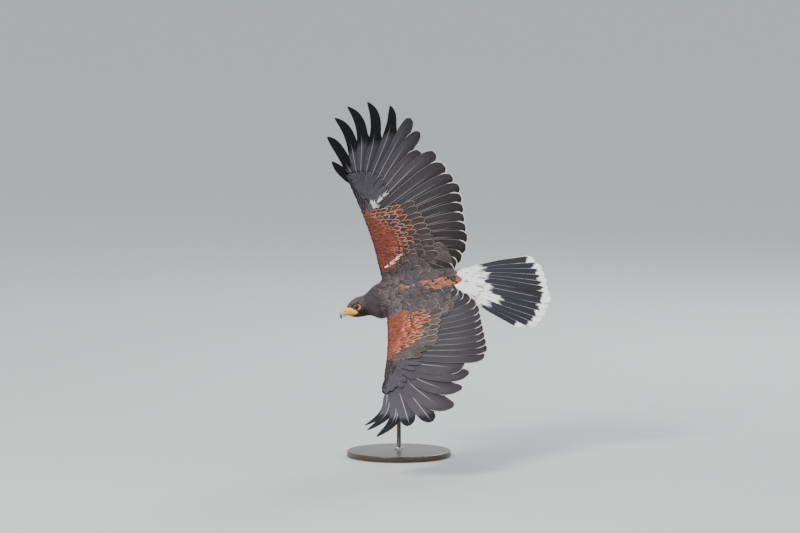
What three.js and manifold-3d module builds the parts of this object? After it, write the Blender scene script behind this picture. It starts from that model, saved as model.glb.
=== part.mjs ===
// A life-size Harris's hawk banking hard in flight, held on a plain display stand. Millimetres, +Z up.
// Each part of the bird is modelled in the bird's own frame, x forward, y to its left and z up from its back,
// and the finished bird is then turned nose down, away and over on its side, and lifted onto the rod.
// Each wing is laid out flat, feather by feather, and then raised and curled by one smooth bend.
import * as THREE from "three";
import { mergeVertices } from "three/addons/utils/BufferGeometryUtils.js";
import Module from "manifold-3d";

const wasm = await Module();
wasm.setup();

const { degToRad, lerp, clamp, smoothstep } = THREE.MathUtils;
const { Vector3 } = THREE;
const [xAxis, yAxis, zAxis] = [new Vector3(1, 0, 0), new Vector3(0, 1, 0), new Vector3(0, 0, 1)];

// Gap kept between two parts that touch, and between two vanes that lie over one another.
const gap = 0.3;
const vaneGap = 0.35;

// Attitude of the whole bird, in degrees.
const attitude = { heading: 180, bank: 79, turnAway: -6, noseDown: 10, lean: 6 };
const bodyHeight = 400; // from the floor to the middle of the body
const colours = {
  darkBrown: 0x3a3234,
  blackBrown: 0x2a2629,
  rufous: 0x8e4227,
  white: 0xf1efea,
  cere: 0xe8b23c,
  horn: 0x6d7880,
  claw: 0x1d1b1c,
  eye: 0x3a1e10,
  leg: 0xe0b02e,
  wood: 0x2f2a27,
  steel: 0x8d9196,
};

// Trunk: stations from the neck to the tail root, each with where it is, its half width and its heights.
const trunk = {
  x: [52, 28, -5, -45, -90, -128, -150],
  side: [24, 13, 4, 0, 0, 0, 0],
  mid: [0, -2, -4, -4, -1, 3, 6],
  halfWidth: [37, 47, 52, 46, 36, 26, 20],
  top: [36, 44, 46, 42, 33, 22, 15],
  bottom: [36, 47, 54, 50, 38, 25, 15],
};
const rumpStart = -96; // where the trunk is parted from the rump
const neckStart = 40; // where the trunk is parted from the neck

// Head, in its own frame: x towards the bill, y to its left, z to the crown, from the middle of the skull.
const head = {
  place: new Vector3(96, 23, -3),
  x: [-16, -6, 4, 14, 23, 29],
  halfWidth: [23, 24, 23, 20, 15, 10.8],
  top: [25, 25, 23, 19.5, 14, 8.4],
  bottom: [26, 25, 24, 22, 18, 14],
  pitchDown: 15,
  tipToCamera: 12,
};
const neck = { rings: 6, swell: 2 };
const eye = { x: 5, y: 15.3, z: 8.5, radius: 6.9, lid: 1.5, browLength: 12, browRise: 6.4 };
const bill = {
  base: 29.4,
  cereLength: 9.6,
  reach: 19, // from the base to the front of the hook
  hookDrop: 18, // from the middle of the skull down to the tip of the hook
  mouth: -8, // height of the line of the mouth
  nostril: { x: 34.5, z: -0.4, length: 2.1, height: 1.5 },
};

// Wing, flat, from the shoulder joint: x outwards, y forwards, z up.
const shoulder = new Vector3(22, 40, 28);
const wing = {
  wrist: new THREE.Vector2(168, 18),
  handEnd: new THREE.Vector2(244, 38),
  camber: 3.1, // drop at 100 mm from the highest line of the wing
  camberLine: -20,
  bend: { from: -40, to: 140, creases: 5 }, // distances past the wrist where the hand turns up, in even steps
};

// Each wing is carried in its own way: how it is raised and swept, how far and about which line its hand curls.
// The reach of the primaries is from the wrist to the tip, and their fan is in degrees, both innermost first, as is
// how far each bows to the front, as a share of its length. The inner vane is half widths to the front and rear.
const sides = {
  right: {
    sign: -1,
    sweep: -3.5,
    raise: 30.8,
    curlAxis: 28,
    curl: 33.6,
    reach: [225, 204, 250, 285, 323, 346, 346, 320, 266, 180],
    fan: [-56.6, -48.4, -38.6, -28.6, -17.9, -7.6, 0.5, 6.5, 12.9, 18.8],
    secondaryOut: 254,
    secondaryIn: 14,
    innerVane: [16, 27],
    lastTrail: 34,
    bow: [0.03, 0.03, 0.02, -0.02, -0.055, -0.075, -0.08, -0.06, -0.025, 0],
  },
  left: {
    sign: 1,
    sweep: -4.5,
    raise: 28.4,
    curlAxis: 0,
    curl: 26.1,
    reach: [188, 214, 246, 306, 333, 317, 290, 331, 288, 262],
    fan: [-68, -56, -38, -23.8, -14.4, -5.5, 1.2, 8.1, 13.8, 16.4],
    secondaryOut: 214,
    secondaryIn: 20,
    innerVane: [35, 39],
    lastTrail: 24,
    bow: [0.03, 0.03, 0.03, 0.02, 0, 0, -0.04, -0.13, -0.14, -0.15],
  },
};

// Flight feathers.
const secondaryCount = 10;
const vane = { thick: 0.65 };
const layerStep = vane.thick + vaneGap;
const layers = { covertTop: 4.6, medianTop: 8, under: -5.4 };

// Tail, from its root: x backwards, y to the bird's left.
const tail = {
  root: new Vector3(-150, 0, 7),
  length: 232,
  toLeft: 20,
  droop: 3,
  halfSpread: 21,
  blockLength: 24,
  // Lengths of the feathers from the middle out, as shares of the longest.
  right: [0.97, 0.955, 0.94, 0.915, 0.885, 0.85],
  left: [1, 0.985, 0.98, 0.975, 0.945, 0.82],
};

// Legs, trailed back under the tail, with the toes half closed. Toes run from the outer to the inner and the hind.
const leg = {
  hip: new Vector3(-38, 27, -33),
  heel: new Vector3(-112, 22, -45),
  foot: new Vector3(-184, 16, -27),
  thighWidth: 21,
  tarsusRadius: 4.6,
  toeRadius: 3.7,
  toeLengths: [34, 43, 35, 27],
  toeSpread: [15, 5, -5, -12],
  toeDrop: [4, 2, 6, 66],
  clawLengths: [16, 17, 18, 21],
};

// Stand.
const stand = { radius: 125, thick: 14, edge: 2.5, rodRadius: 5, rodAside: -6, rodBehind: 24, baseForward: -24 };

// Geometry helpers

// A closed mesh from a list of points and a list of faces, turned to face out.
function closedGeometry(points, faces) {
  let six = 0;
  for (const [a, b, c] of faces) {
    const [p, q, r] = [points[a], points[b], points[c]];
    six += p.dot(new Vector3().crossVectors(q, r));
  }
  const flat = six < 0 ? faces.map(([a, b, c]) => [a, c, b]) : faces;
  const geometry = new THREE.BufferGeometry().setFromPoints(points);
  geometry.setIndex(flat.flat());
  return geometry;
}

function solidOf(geometry) {
  const bare = geometry.clone();
  for (const name of ["normal", "uv"]) bare.deleteAttribute(name);
  const merged = mergeVertices(bare, 1e-4);
  return new wasm.Manifold(
    new wasm.Mesh({
      numProp: 3,
      vertProperties: merged.attributes.position.array,
      triVerts: new Uint32Array(merged.index.array),
    }),
  );
}

function geometryOf(solid) {
  const { numProp, numVert, vertProperties, triVerts } = solid.getMesh();
  const places = new Float32Array(numVert * 3);
  for (let i = 0; i < numVert; i++) places.set(vertProperties.subarray(i * numProp, i * numProp + 3), i * 3);
  const geometry = new THREE.BufferGeometry();
  geometry.setAttribute("position", new THREE.BufferAttribute(places, 3));
  return geometry.setIndex(new THREE.BufferAttribute(triVerts, 1));
}

const union = (...pieces) => wasm.Manifold.union(pieces.flat());

function largest(solid) {
  return solid.decompose().reduce((a, b) => (a.volume() > b.volume() ? a : b));
}

// A skin over rings of points that all have the same count, closed by a fan at each end.
function loft(rings) {
  const n = rings[0].length;
  const points = rings.flat();
  const faces = [];
  for (let i = 0; i + 1 < rings.length; i++) {
    for (let k = 0; k < n; k++) {
      const a = i * n + k;
      const b = i * n + ((k + 1) % n);
      faces.push([a, a + n, b + n], [a, b + n, b]);
    }
  }
  for (const [ring, start] of [[rings[0], 0], [rings.at(-1), (rings.length - 1) * n]]) {
    const middle = ring.reduce((sum, p) => sum.add(p), new Vector3()).divideScalar(n);
    const hub = points.push(middle) - 1;
    for (let k = 0; k < n; k++) {
      const [a, b] = [start + k, start + ((k + 1) % n)];
      faces.push(start === 0 ? [hub, a, b] : [hub, b, a]);
    }
  }
  return closedGeometry(points, faces);
}

// Smooth values through a row of sizes, read at a share from 0 to 1 of the row.
function smoothRow(values) {
  const curve = new THREE.CatmullRomCurve3(values.map((v, i) => new Vector3(i, v, 0)), false, "centripetal");
  return (share) => curve.getPoint(clamp(share, 0, 1)).y;
}

// An egg-shaped ring across a direction, with its own height above and below the middle.
function eggRing(middle, along, up, width, top, bottom, count) {
  const sideways = new Vector3().crossVectors(up, along).normalize();
  const upright = new Vector3().crossVectors(along, sideways).normalize();
  return Array.from({ length: count }, (_, k) => {
    const angle = (2 * Math.PI * (k + 0.5)) / count;
    const height = Math.sin(angle) > 0 ? top : bottom;
    return middle
      .clone()
      .addScaledVector(sideways, width * Math.cos(angle))
      .addScaledVector(upright, height * Math.sin(angle));
  });
}

// A smooth tapered tube of round section along a few points.
function taperedTube(places, radii, sidesCount, steps, flatten = 1) {
  const curve = new THREE.CatmullRomCurve3(places, false, "centripetal");
  const size = smoothRow(radii);
  const rings = [];
  for (let i = 0; i <= steps; i++) {
    const t = i / steps;
    const along = curve.getTangent(t);
    const up = Math.abs(along.z) > 0.9 ? new Vector3(1, 0, 0) : new Vector3(0, 0, 1);
    const r = size(t);
    rings.push(eggRing(curve.getPoint(t), along, up, r, r * flatten, r * flatten, sidesCount));
  }
  return loft(rings);
}

// Feathers

// Where a vane is wide and narrow: rows of share along it, width of the leading and of the trailing part.
const broadVane = [
  [0, 0.14, 0.14],
  [0.34, 0.84, 0.8],
  [0.68, 1, 1],
  [0.9, 0.96, 0.92],
  [0.97, 0.64, 0.6],
  [1, 0.24, 0.2],
];
// The outermost secondary, which is wide close to its root, so that no gap is left beside the wrist.
const wristVane = [[0, 0.14, 0.14], [0.09, 0.6, 0.4], ...broadVane.slice(1)];
const covertVane = [
  [0, 0.5, 0.5],
  [0.5, 1, 1],
  [0.86, 0.9, 0.9],
  [1, 0.3, 0.3],
];

// A primary with a slotted tip: full width up to the notch, then a narrow finger.
const fingerVane = (notch) => [
  [0, 0.14, 0.14],
  [0.32, 0.86, 0.8],
  [notch - 0.05, 1, 1],
  [notch + 0.04, 0.9, 0.58],
  [0.86, 0.76, 0.46],
  [0.96, 0.56, 0.2],
  [1, 0.26, -0.04],
];

// One vane as a thin, closed blade. Its leading side is raised, so that it lies over the next vane out.
// The space it lies in turns a point of the flat layout into one of the bird's, and may crease along some lines.
function feather({ root, tip, height, lead, trail, shape, rootStep, tipStep, bow = 0 }, space) {
  const length = root.distanceTo(tip);
  const along = tip.clone().sub(root).divideScalar(length);
  const leading = new THREE.Vector2(-along.y, along.x);
  const corner = (share, aside) => {
    const bend = 6.75 * bow * length * share ** 2 * (1 - share);
    const spot = root.clone().lerp(tip, share).addScaledVector(leading, bend + aside);
    const slope = layerStep / lerp(rootStep, tipStep, share);
    return new Vector3(spot.x, spot.y, lerp(...height, share) + slope * aside);
  };
  const front = shape.map(([share, width]) => corner(share, lead * width));
  const back = shape.map(([share, , width]) => corner(share, -trail * width));
  return solidOf(blade([...front, ...back.reverse()], space));
}

// A blade with the given outline, split where its space creases, with the same triangles above and below.
function blade(outline, { place, creases = [], across }) {
  const points = [...outline];
  let rest = outline.map((_, i) => i);
  const pieces = [];
  for (const line of creases) {
    const past = (i) => points[i].x * across.x + points[i].y * across.y - line;
    const [low, high] = [[], []];
    rest.forEach((a, k) => {
      const b = rest[(k + 1) % rest.length];
      (past(a) < 0 ? low : high).push(a);
      if (past(a) < 0 === past(b) < 0) return;
      const cut = points.push(points[a].clone().lerp(points[b], past(a) / (past(a) - past(b)))) - 1;
      low.push(cut);
      high.push(cut);
    });
    if (low.length > 2) pieces.push(low);
    rest = high;
  }
  if (rest.length > 2) pieces.push(rest);
  const top = pieces.flatMap((piece) => {
    const contour = piece.map((i) => new THREE.Vector2(points[i].x, points[i].y));
    return THREE.ShapeUtils.triangulateShape(contour, []).map((corners) => {
      const [a, b, c] = corners.map((k) => contour[k]);
      const flipped = (b.x - a.x) * (c.y - a.y) < (b.y - a.y) * (c.x - a.x);
      const [p, q, r] = corners.map((k) => piece[k]);
      return flipped ? [p, r, q] : [p, q, r];
    });
  });
  const down = points.length;
  const edges = top.flatMap(([a, b, c]) => [[a, b], [b, c], [c, a]]);
  const inner = new Set(edges.map(([a, b]) => `${b} ${a}`));
  const rim = edges.filter(([a, b]) => !inner.has(`${a} ${b}`));
  const faces = [
    ...top,
    ...top.map(([a, b, c]) => [a + down, c + down, b + down]),
    ...rim.flatMap(([a, b]) => [[a, a + down, b + down], [a, b + down, b]]),
  ];
  const under = points.map((p) => new Vector3(p.x, p.y, p.z - vane.thick));
  return closedGeometry([...points, ...under].map(place), faces);
}

// Wings

// The space of one wing: it carries a point of the flat wing to its place on the bird.
function wingSpace({ sign, sweep, raise, curlAxis, curl }) {
  const { wrist, bend } = wing;
  const across = new THREE.Vector2(1, 0).rotateAround(new THREE.Vector2(), degToRad(curlAxis));
  const beside = new THREE.Vector2(-across.y, across.x);
  const step = (bend.to - bend.from) / bend.creases;
  // The bent line of the hand, as the places of its creases, with the middle direction at each.
  const line = [{ past: bend.from, out: bend.from, up: 0, angle: 0 }];
  for (let i = 1; i <= bend.creases; i++) {
    const before = line.at(-1);
    const past = before.past + step;
    const slope = degToRad(curl * smoothstep(past - step / 2, bend.from, bend.to));
    line.push({
      past,
      out: before.out + step * Math.cos(slope),
      up: before.up + step * Math.sin(slope),
      angle: degToRad(curl * smoothstep(past, bend.from, bend.to)),
    });
  }
  const lift = degToRad(raise);
  const place = (point) => {
    const flat = new THREE.Vector2(point.x, point.y);
    let z = point.z - wing.camber * ((point.y - wing.camberLine) / 100) ** 2;
    const offset = flat.clone().sub(wrist);
    const past = offset.dot(across);
    if (past > bend.from) {
      const low = Math.min(Math.floor((past - bend.from) / step), bend.creases);
      const from = line[low];
      const to = line[low + 1];
      const share = (past - from.past) / step;
      const ended = { out: from.out + step * share * Math.cos(from.angle), up: from.up + step * share * Math.sin(from.angle) };
      const spot = to ? { out: lerp(from.out, to.out, share), up: lerp(from.up, to.up, share) } : ended;
      const angle = to ? lerp(from.angle, to.angle, share) : from.angle;
      flat.copy(wrist).addScaledVector(across, spot.out - z * Math.sin(angle));
      flat.addScaledVector(beside, offset.dot(beside));
      z = spot.up + z * Math.cos(angle);
    }
    flat.rotateAround(new THREE.Vector2(), degToRad(sweep));
    const out = flat.x * Math.cos(lift) - z * Math.sin(lift);
    const up = flat.x * Math.sin(lift) + z * Math.cos(lift);
    return new Vector3(shoulder.x + flat.y, sign * (shoulder.y + out), shoulder.z + up);
  };
  return { place, across, creases: line.map(({ past }) => past + wrist.dot(across)) };
}

// The leading edge and the line behind the bones that the flight feathers grow from.
const elbow = new THREE.Vector2(80, -46);
const leadingEdge = (x) => lerp(8, 32, x / wing.wrist.x) - 4 * Math.sin((Math.PI * clamp(x, 0, wing.wrist.x)) / wing.wrist.x);
function rearLine(x) {
  const ulna = lerp(elbow.y, 2, (x - elbow.x) / (wing.wrist.x - elbow.x));
  return x > elbow.x ? lerp(ulna, elbow.y, 0.5 * Math.exp(-(x - elbow.x) / 14)) : elbow.y + 0.5 * (ulna - elbow.y) * Math.exp(-(elbow.x - x) / 14);
}
const handShare = (x) => (x - wing.wrist.x) / (wing.handEnd.x - wing.wrist.x);
const handRear = (x) => lerp(2, wing.handEnd.y - 5, handShare(x));
const handLead = (x) => lerp(32, wing.handEnd.y + 9, handShare(x));

// One section of the fleshy wing at x, with a rear face of a set height.
function wingSection(x, rear, front, thick, grow) {
  const shares = [0, 0.3, 0.62, 0.87, 1];
  const height = (share) => thick * Math.sin(Math.PI * Math.min(1, share * 0.92 + 0.08)) ** 0.75;
  const spot = (s, z) => new Vector3(x, lerp(rear - grow, front + grow, s), z);
  const over = shares.map((s) => spot(s, (1 - s) * 6.6 + height(s) + (s < 1 ? grow : 0)));
  const below = shares.slice(0, -1).map((s) => spot(s, -(1 - s) * 5.6 - 0.72 * height(s) - grow));
  return [...over, ...below.reverse()];
}

const armPlaces = [-26, 0, 26, 52, 68, 80, 94, 110, 130, 150, wing.wrist.x];
const handPlaces = [0, 0.25, 0.5, 0.75, 1].map((share) => lerp(wing.wrist.x, wing.handEnd.x, share));

function armCore({ place }, grow = 0) {
  const thick = (x) => lerp(9.5, 4.6, clamp(x / wing.wrist.x, 0, 1));
  const section = (x) => wingSection(x, rearLine(x), leadingEdge(x), thick(x), grow);
  return solidOf(loft(armPlaces.map((x) => section(x).map(place))));
}

function handCore({ place }, grow = 0) {
  const section = (x) => wingSection(x, handRear(x), handLead(x), lerp(4.6, 1.4, handShare(x)), grow);
  const places = [handPlaces[0] + gap - grow, ...handPlaces.slice(1, -1), handPlaces.at(-1) + grow];
  return solidOf(loft(places.map((x) => section(x).map(place))));
}

// A bar along the roots of the flight feathers, just behind the fleshy wing.
function rootBar(places, line, { place }) {
  const [thick, deep] = [2.6, 8];
  const rings = places.map((x) => {
    const y = line(x) - gap - 0.12;
    const section = [[y, thick], [y, -thick], [y - deep, -thick + 1], [y - deep, thick - 1]];
    return section.map(([a, z]) => place(new Vector3(x, a, z)));
  });
  return solidOf(loft(rings));
}

function primaryLine({ reach, fan }, number) {
  const angle = degToRad(fan[number - 1]);
  const tip = new THREE.Vector2(Math.cos(angle), Math.sin(angle)).multiplyScalar(reach[number - 1]).add(wing.wrist);
  tip.y += 6;
  const x = lerp(wing.wrist.x + 5, wing.handEnd.x - 3, (number - 1) / 9);
  return { root: new THREE.Vector2(x, handRear(x) - 3.2), tip };
}

function primaries(side) {
  const space = wingSpace(side);
  const places = handPlaces.map((x, i) => x + (i === 0 ? gap : 0));
  const pieces = [rootBar(places, handRear, space)];
  for (let number = 1; number <= 10; number++) {
    const outward = (number - 1) / 9;
    const { root, tip } = primaryLine(side, number);
    const slotted = number >= 5;
    const finger = number === 5 ? 84 : lerp(132, 112, (number - 6) / 4);
    const notch = Math.max(1 - finger / root.distanceTo(tip), 0.42);
    const shape = slotted ? fingerVane(notch) : broadVane;
    const trail = lerp(side.innerVane[1], 24, outward ** 1.5);
    const lead = lerp(side.innerVane[0], 10, outward);
    const sizes = { lead, trail, bow: side.bow[number - 1], rootStep: 8.2, tipStep: slotted ? 36 : 27 };
    pieces.push(feather({ root, tip, height: [0, 0], shape, ...sizes }, space));
  }
  return largest(union(pieces).subtract(handCore(space, 0.42)));
}

// The line of the tips of the secondaries, which their lengths follow.
const trailingEdge = (x) => -213 + 30 * smoothstep(x, 185, 262) + 30 * (1 - smoothstep(x, -15, 60));

function secondaries(side, bodyCut) {
  const space = wingSpace(side);
  const places = [...armPlaces.slice(3, -1), wing.wrist.x - 8.2];
  const pieces = [rootBar(places, rearLine, space)];
  for (let i = 0; i < secondaryCount; i++) {
    const share = i / (secondaryCount - 1);
    const x = lerp(wing.wrist.x - 12, 60, share);
    const root = new THREE.Vector2(x, rearLine(x) - 3.2);
    const tipX = lerp(side.secondaryOut, side.secondaryIn, share ** 0.95);
    const tip = new THREE.Vector2(tipX, trailingEdge(tipX));
    const trail = i === secondaryCount - 1 ? side.lastTrail : 24;
    const lead = i === 0 ? 24 : 18;
    const sizes = { lead, trail, rootStep: 11.2, tipStep: 27 };
    const shape = i === 0 ? wristVane : broadVane;
    pieces.push(feather({ root, tip, height: [0.4, 0.4], shape, bow: 0.015, ...sizes }, space));
  }
  return largest(union(pieces).subtract(bodyCut));
}

// One tier of coverts over or under the secondaries.
function armCoverts(space, { count, from, to, reach, height, set }) {
  const step = (from - to) / (count - 1);
  return Array.from({ length: count }, (_, i) => {
    const share = i / (count - 1);
    const x = lerp(from, to, share);
    const angle = degToRad(lerp(-66, -98, share));
    const along = new THREE.Vector2(Math.cos(angle), Math.sin(angle));
    const root = new THREE.Vector2(x, rearLine(x) + set);
    const tip = root.clone().addScaledVector(along, (reach + set) / -along.y);
    const sizes = { lead: step * 0.75, trail: step * 1.05, rootStep: step, tipStep: step * 1.4 };
    return feather({ root, tip, height: [height, height], shape: covertVane, ...sizes }, space);
  });
}

// One tier of coverts over or under the primaries.
function handCoverts(side, space, { count, reach, height, lead, trail }) {
  return Array.from({ length: count }, (_, i) => {
    const share = i / (count - 1);
    const number = lerp(1.2, 9.7, share);
    const low = Math.floor(number);
    const angle = degToRad(lerp(side.fan[low - 1], side.fan[low], number - low));
    const x = lerp(wing.wrist.x + 5, wing.handEnd.x - 8, (number - 1) / 9);
    const root = new THREE.Vector2(x, handRear(x) + 3);
    const tip = new THREE.Vector2(Math.cos(angle), Math.sin(angle)).multiplyScalar(lerp(reach - 14, reach, share)).add(wing.wrist);
    tip.y += 5;
    const sizes = { lead, trail, rootStep: 8.4, tipStep: 16 };
    return feather({ root, tip, height: [height, height], shape: covertVane, ...sizes }, space);
  });
}

function arm(side, bodyCut) {
  const space = wingSpace(side);
  const pieces = [
    armCore(space),
    ...armCoverts(space, { count: 8, from: 148, to: 34, reach: 84, height: layers.covertTop, set: 8 }),
    ...armCoverts(space, { count: 7, from: 147, to: 32, reach: 50, height: layers.medianTop, set: 12 }),
    ...armCoverts(space, { count: 5, from: 141, to: 36, reach: 62, height: layers.under, set: 8 }),
  ];
  return largest(union(pieces).subtract(bodyCut));
}

// The small feathers of the thumb, along the front of the wrist.
function alula(space) {
  const along = wing.handEnd.clone().sub(wing.wrist).normalize();
  return [0, 1].map((i) => {
    const root = wing.wrist.clone().addScaledVector(along, 8 - 2 * i);
    root.y += 10 - 3.4 * i;
    const tip = root.clone().addScaledVector(along, 70 - 14 * i);
    tip.y -= 9 + i;
    const height = [5.2 + 1.4 * i, 5.6 + 1.4 * i];
    return feather({ root, tip, height, lead: 5, trail: 8, shape: covertVane, rootStep: 14, tipStep: 22 }, space);
  });
}

function hand(side) {
  const space = wingSpace(side);
  const pieces = [
    handCore(space),
    ...alula(space),
    ...handCoverts(side, space, { count: 7, reach: 118, height: layers.covertTop, lead: 10, trail: 11 }),
    ...handCoverts(side, space, { count: 4, reach: 94, height: layers.under, lead: 12, trail: 13 }),
  ];
  return largest(union(pieces));
}

// Trunk and neck

const rowsOf = (table) => Object.fromEntries(Object.entries(table).map(([name, row]) => [name, smoothRow(row)]));
const trunkRows = rowsOf(trunk);
const trunkSteps = 11;

function trunkLoft(grow = 0) {
  const rings = [];
  for (let i = 0; i <= trunkSteps; i++) {
    const share = i / trunkSteps;
    const end = i === 0 ? grow : i === trunkSteps ? -grow : 0;
    const middle = new Vector3(trunkRows.x(share) + end, trunkRows.side(share), trunkRows.mid(share));
    const sizes = [trunkRows.halfWidth, trunkRows.top, trunkRows.bottom].map((row) => row(share) + grow);
    rings.push(eggRing(middle, xAxis, zAxis, ...sizes, 18));
  }
  return solidOf(loft(rings));
}

// A slab that keeps one side of a plane across the body.
function sideOf(x, forward) {
  const long = 400;
  const box = new THREE.BoxGeometry(long, long, long);
  box.translate(x + (forward ? long / 2 : -long / 2), 0, 0);
  return solidOf(box);
}

// The neck turns from the banked body to the level head.
function neckSolid() {
  const share = trunk.x.indexOf(28) / (trunk.x.length - 1);
  const start = { at: share, turn: new THREE.Quaternion() };
  let low = 0;
  let high = share;
  for (let i = 0; i < 20; i++) {
    start.at = (low + high) / 2;
    if (trunkRows.x(start.at) > neckStart) low = start.at;
    else high = start.at;
  }
  const from = new Vector3(neckStart + gap, trunkRows.side(start.at), trunkRows.mid(start.at));
  const to = new Vector3(head.x[0] - gap, 0, 0).applyMatrix4(headTurn);
  const aim = new THREE.Quaternion().setFromRotationMatrix(headTurn);
  const sizesAt = [trunkRows.halfWidth, trunkRows.top, trunkRows.bottom].map((row) => row(start.at) - 1);
  const sizesEnd = [head.halfWidth[0], head.top[0], head.bottom[0]];
  const rings = [];
  for (let i = 0; i <= neck.rings; i++) {
    const t = i / neck.rings;
    const turn = start.turn.clone().slerp(aim, t);
    const along = xAxis.clone().applyQuaternion(turn);
    const up = zAxis.clone().applyQuaternion(turn);
    const middle = from.clone().lerp(to, t);
    const swell = neck.swell * Math.sin(Math.PI * t);
    const sizes = sizesAt.map((size, k) => lerp(size, sizesEnd[k], smoothstep(t, 0, 1)) + swell);
    rings.push(eggRing(middle, along, up, ...sizes, 16));
  }
  return solidOf(loft(rings));
}

// The shoulder feathers, in two tiers that lie from the back over the root of each wing.
function scapulars(sign) {
  const tiers = [
    { count: 4, start: [27, 20], end: [56, 20], long: [60, 92], height: [-9, 1.6] },
    { count: 3, start: [22, 17], end: [44, 18], long: [42, 62], height: [-7, 4.6] },
  ];
  const place = (p) => new Vector3(p.y, sign * p.x, 41 + 0.34 * (p.x - 30) + 0.06 * (p.y - 10) + p.z);
  return tiers.flatMap(({ count, start, end, long, height }) =>
    Array.from({ length: count }, (_, i) => {
      const share = i / (count - 1);
      const root = new THREE.Vector2(lerp(...start, share), lerp(20, -6, share));
      const tip = new THREE.Vector2(lerp(...end, share), root.y - lerp(...long, share));
      return feather({ root, tip, height, lead: 11, trail: 12, shape: covertVane, rootStep: 9, tipStep: 11 }, { place });
    }),
  );
}

// Tail

// Carries a point of the flat tail to its place on the bird, on one side of its middle line.
const placeOnTail = (sign) => (point) =>
  new Vector3(-point.x, sign * point.y, point.z - 0.00045 * point.y ** 2)
    .applyAxisAngle(yAxis, degToRad(-tail.droop))
    .applyAxisAngle(zAxis, degToRad(-tail.toLeft))
    .add(tail.root);

// A fan of vanes either side of the middle of the tail, the left middle one lying over the right one.
function tailFan({ right, left, first, apart, start, length, spread, lead, trail, height, shape, tipStep }) {
  return [-1, 1].flatMap((sign) =>
    (sign > 0 ? left : right).map((long, i, row) => {
      const share = (i + 0.5) / (row.length - 0.5);
      const angle = degToRad(spread * share);
      const root = new THREE.Vector2(start, first + apart * i);
      const tip = new THREE.Vector2(Math.cos(angle), Math.sin(angle)).multiplyScalar(length * long).add(root);
      const over = i === 0 && sign > 0 ? 1.3 * layerStep : 0;
      const inner = i > 0 ? trail : sign > 0 ? lead * 0.9 : lead * 0.6;
      const rise = height.map((z) => z + over);
      return feather({ root, tip, height: rise, lead, trail: inner, shape, rootStep: apart + 2, tipStep }, { place: placeOnTail(sign) });
    }),
  );
}

function tailSolid() {
  const { right, left } = tail;
  const fan = { right, left, first: 3, apart: 3, start: 5, length: tail.length - 5 };
  const vanes = tailFan({ ...fan, spread: tail.halfSpread, lead: 17, trail: 19, height: [0, 0], shape: broadVane, tipStep: 15 });
  const block = [0, 0.5, 1].map((t) => {
    const place = placeOnTail(1);
    const [wide, high] = [lerp(17, 24, t), lerp(7.5, 3, t ** 1.6)];
    return Array.from({ length: 14 }, (_, k) => {
      const angle = (2 * Math.PI * k) / 14;
      return place(new Vector3(t * tail.blockLength, wide * Math.cos(angle), high * Math.sin(angle)));
    });
  });
  const whole = union(vanes, solidOf(loft(block)));
  return largest(whole.intersect(sideOf(tail.root.x - gap, false)));
}

function rumpSolid(body) {
  const row = [1, 0.97, 0.88];
  const sizes = { right: row, left: row, first: 3, apart: 4.5, spread: 17, lead: 9, trail: 10, shape: covertVane, tipStep: 9 };
  const over = tailFan({ ...sizes, start: -14, length: 76, height: [9.6, 7.4] });
  const below = tailFan({ ...sizes, start: -14, length: 94, height: [-11.6, -7] });
  return largest(union(body.intersect(sideOf(rumpStart - gap, false)), over, below));
}

// Head

const headTurn = new THREE.Matrix4();

// The head is held near level while the body banks, so it is aimed in the world's frame and not the bird's.
function aimHead(birdTurn) {
  const [pitch, roll] = [degToRad(head.pitchDown), degToRad(head.tipToCamera)];
  const forward = new Vector3(-Math.cos(pitch), 0, -Math.sin(pitch));
  const left = new Vector3(0, -Math.sin(roll), Math.cos(roll)).cross(forward).normalize();
  const up = new Vector3().crossVectors(forward, left);
  const inWorld = new THREE.Matrix4().makeBasis(forward, left, up);
  headTurn.copy(birdTurn).invert().multiply(inWorld).setPosition(head.place);
}

const inHeadFrame = (solid) => solidOf(geometryOf(solid).applyMatrix4(headTurn));

// An egg-shaped ring of the head or bill, tipped down by some degrees.
function headRing(x, z, sizes, count, drop = 0) {
  const tip = degToRad(drop);
  const along = new Vector3(Math.cos(tip), 0, -Math.sin(tip));
  const up = new Vector3(Math.sin(tip), 0, Math.cos(tip));
  return eggRing(new Vector3(x, 0, z), along, up, ...sizes, count);
}

function skull() {
  const rows = rowsOf({ x: head.x, halfWidth: head.halfWidth, top: head.top, bottom: head.bottom });
  const rings = [];
  for (let i = 0; i <= 9; i++) {
    const t = i / 9;
    rings.push(headRing(rows.x(t), 0, [rows.halfWidth(t), rows.top(t), rows.bottom(t)], 18));
  }
  let made = solidOf(loft(rings));
  for (const sign of [-1, 1]) {
    const turn = degToRad(-sign * 14);
    const lids = new THREE.TorusGeometry(eye.radius * 0.8, eye.lid, 5, 12);
    lids.scale(1.12, 0.92, 1).rotateX(Math.PI / 2).rotateZ(turn);
    lids.translate(eye.x, sign * (eye.y + 4.9), eye.z);
    const brow = new THREE.SphereGeometry(1, 8, 5);
    brow.scale(eye.browLength, 4.2, 2.6).rotateY(degToRad(14)).rotateZ(turn);
    brow.translate(eye.x + 2, sign * (eye.y + 2.4), eye.z + eye.browRise);
    made = union(made, solidOf(lids), solidOf(brow)).subtract(eyeBall(sign, gap));
  }
  return largest(made);
}

function eyeBall(sign, grow = 0) {
  const ball = new THREE.SphereGeometry(eye.radius + grow, 12, 8);
  ball.rotateX(Math.PI / 2).translate(eye.x, sign * eye.y, eye.z);
  return solidOf(ball);
}

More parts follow.
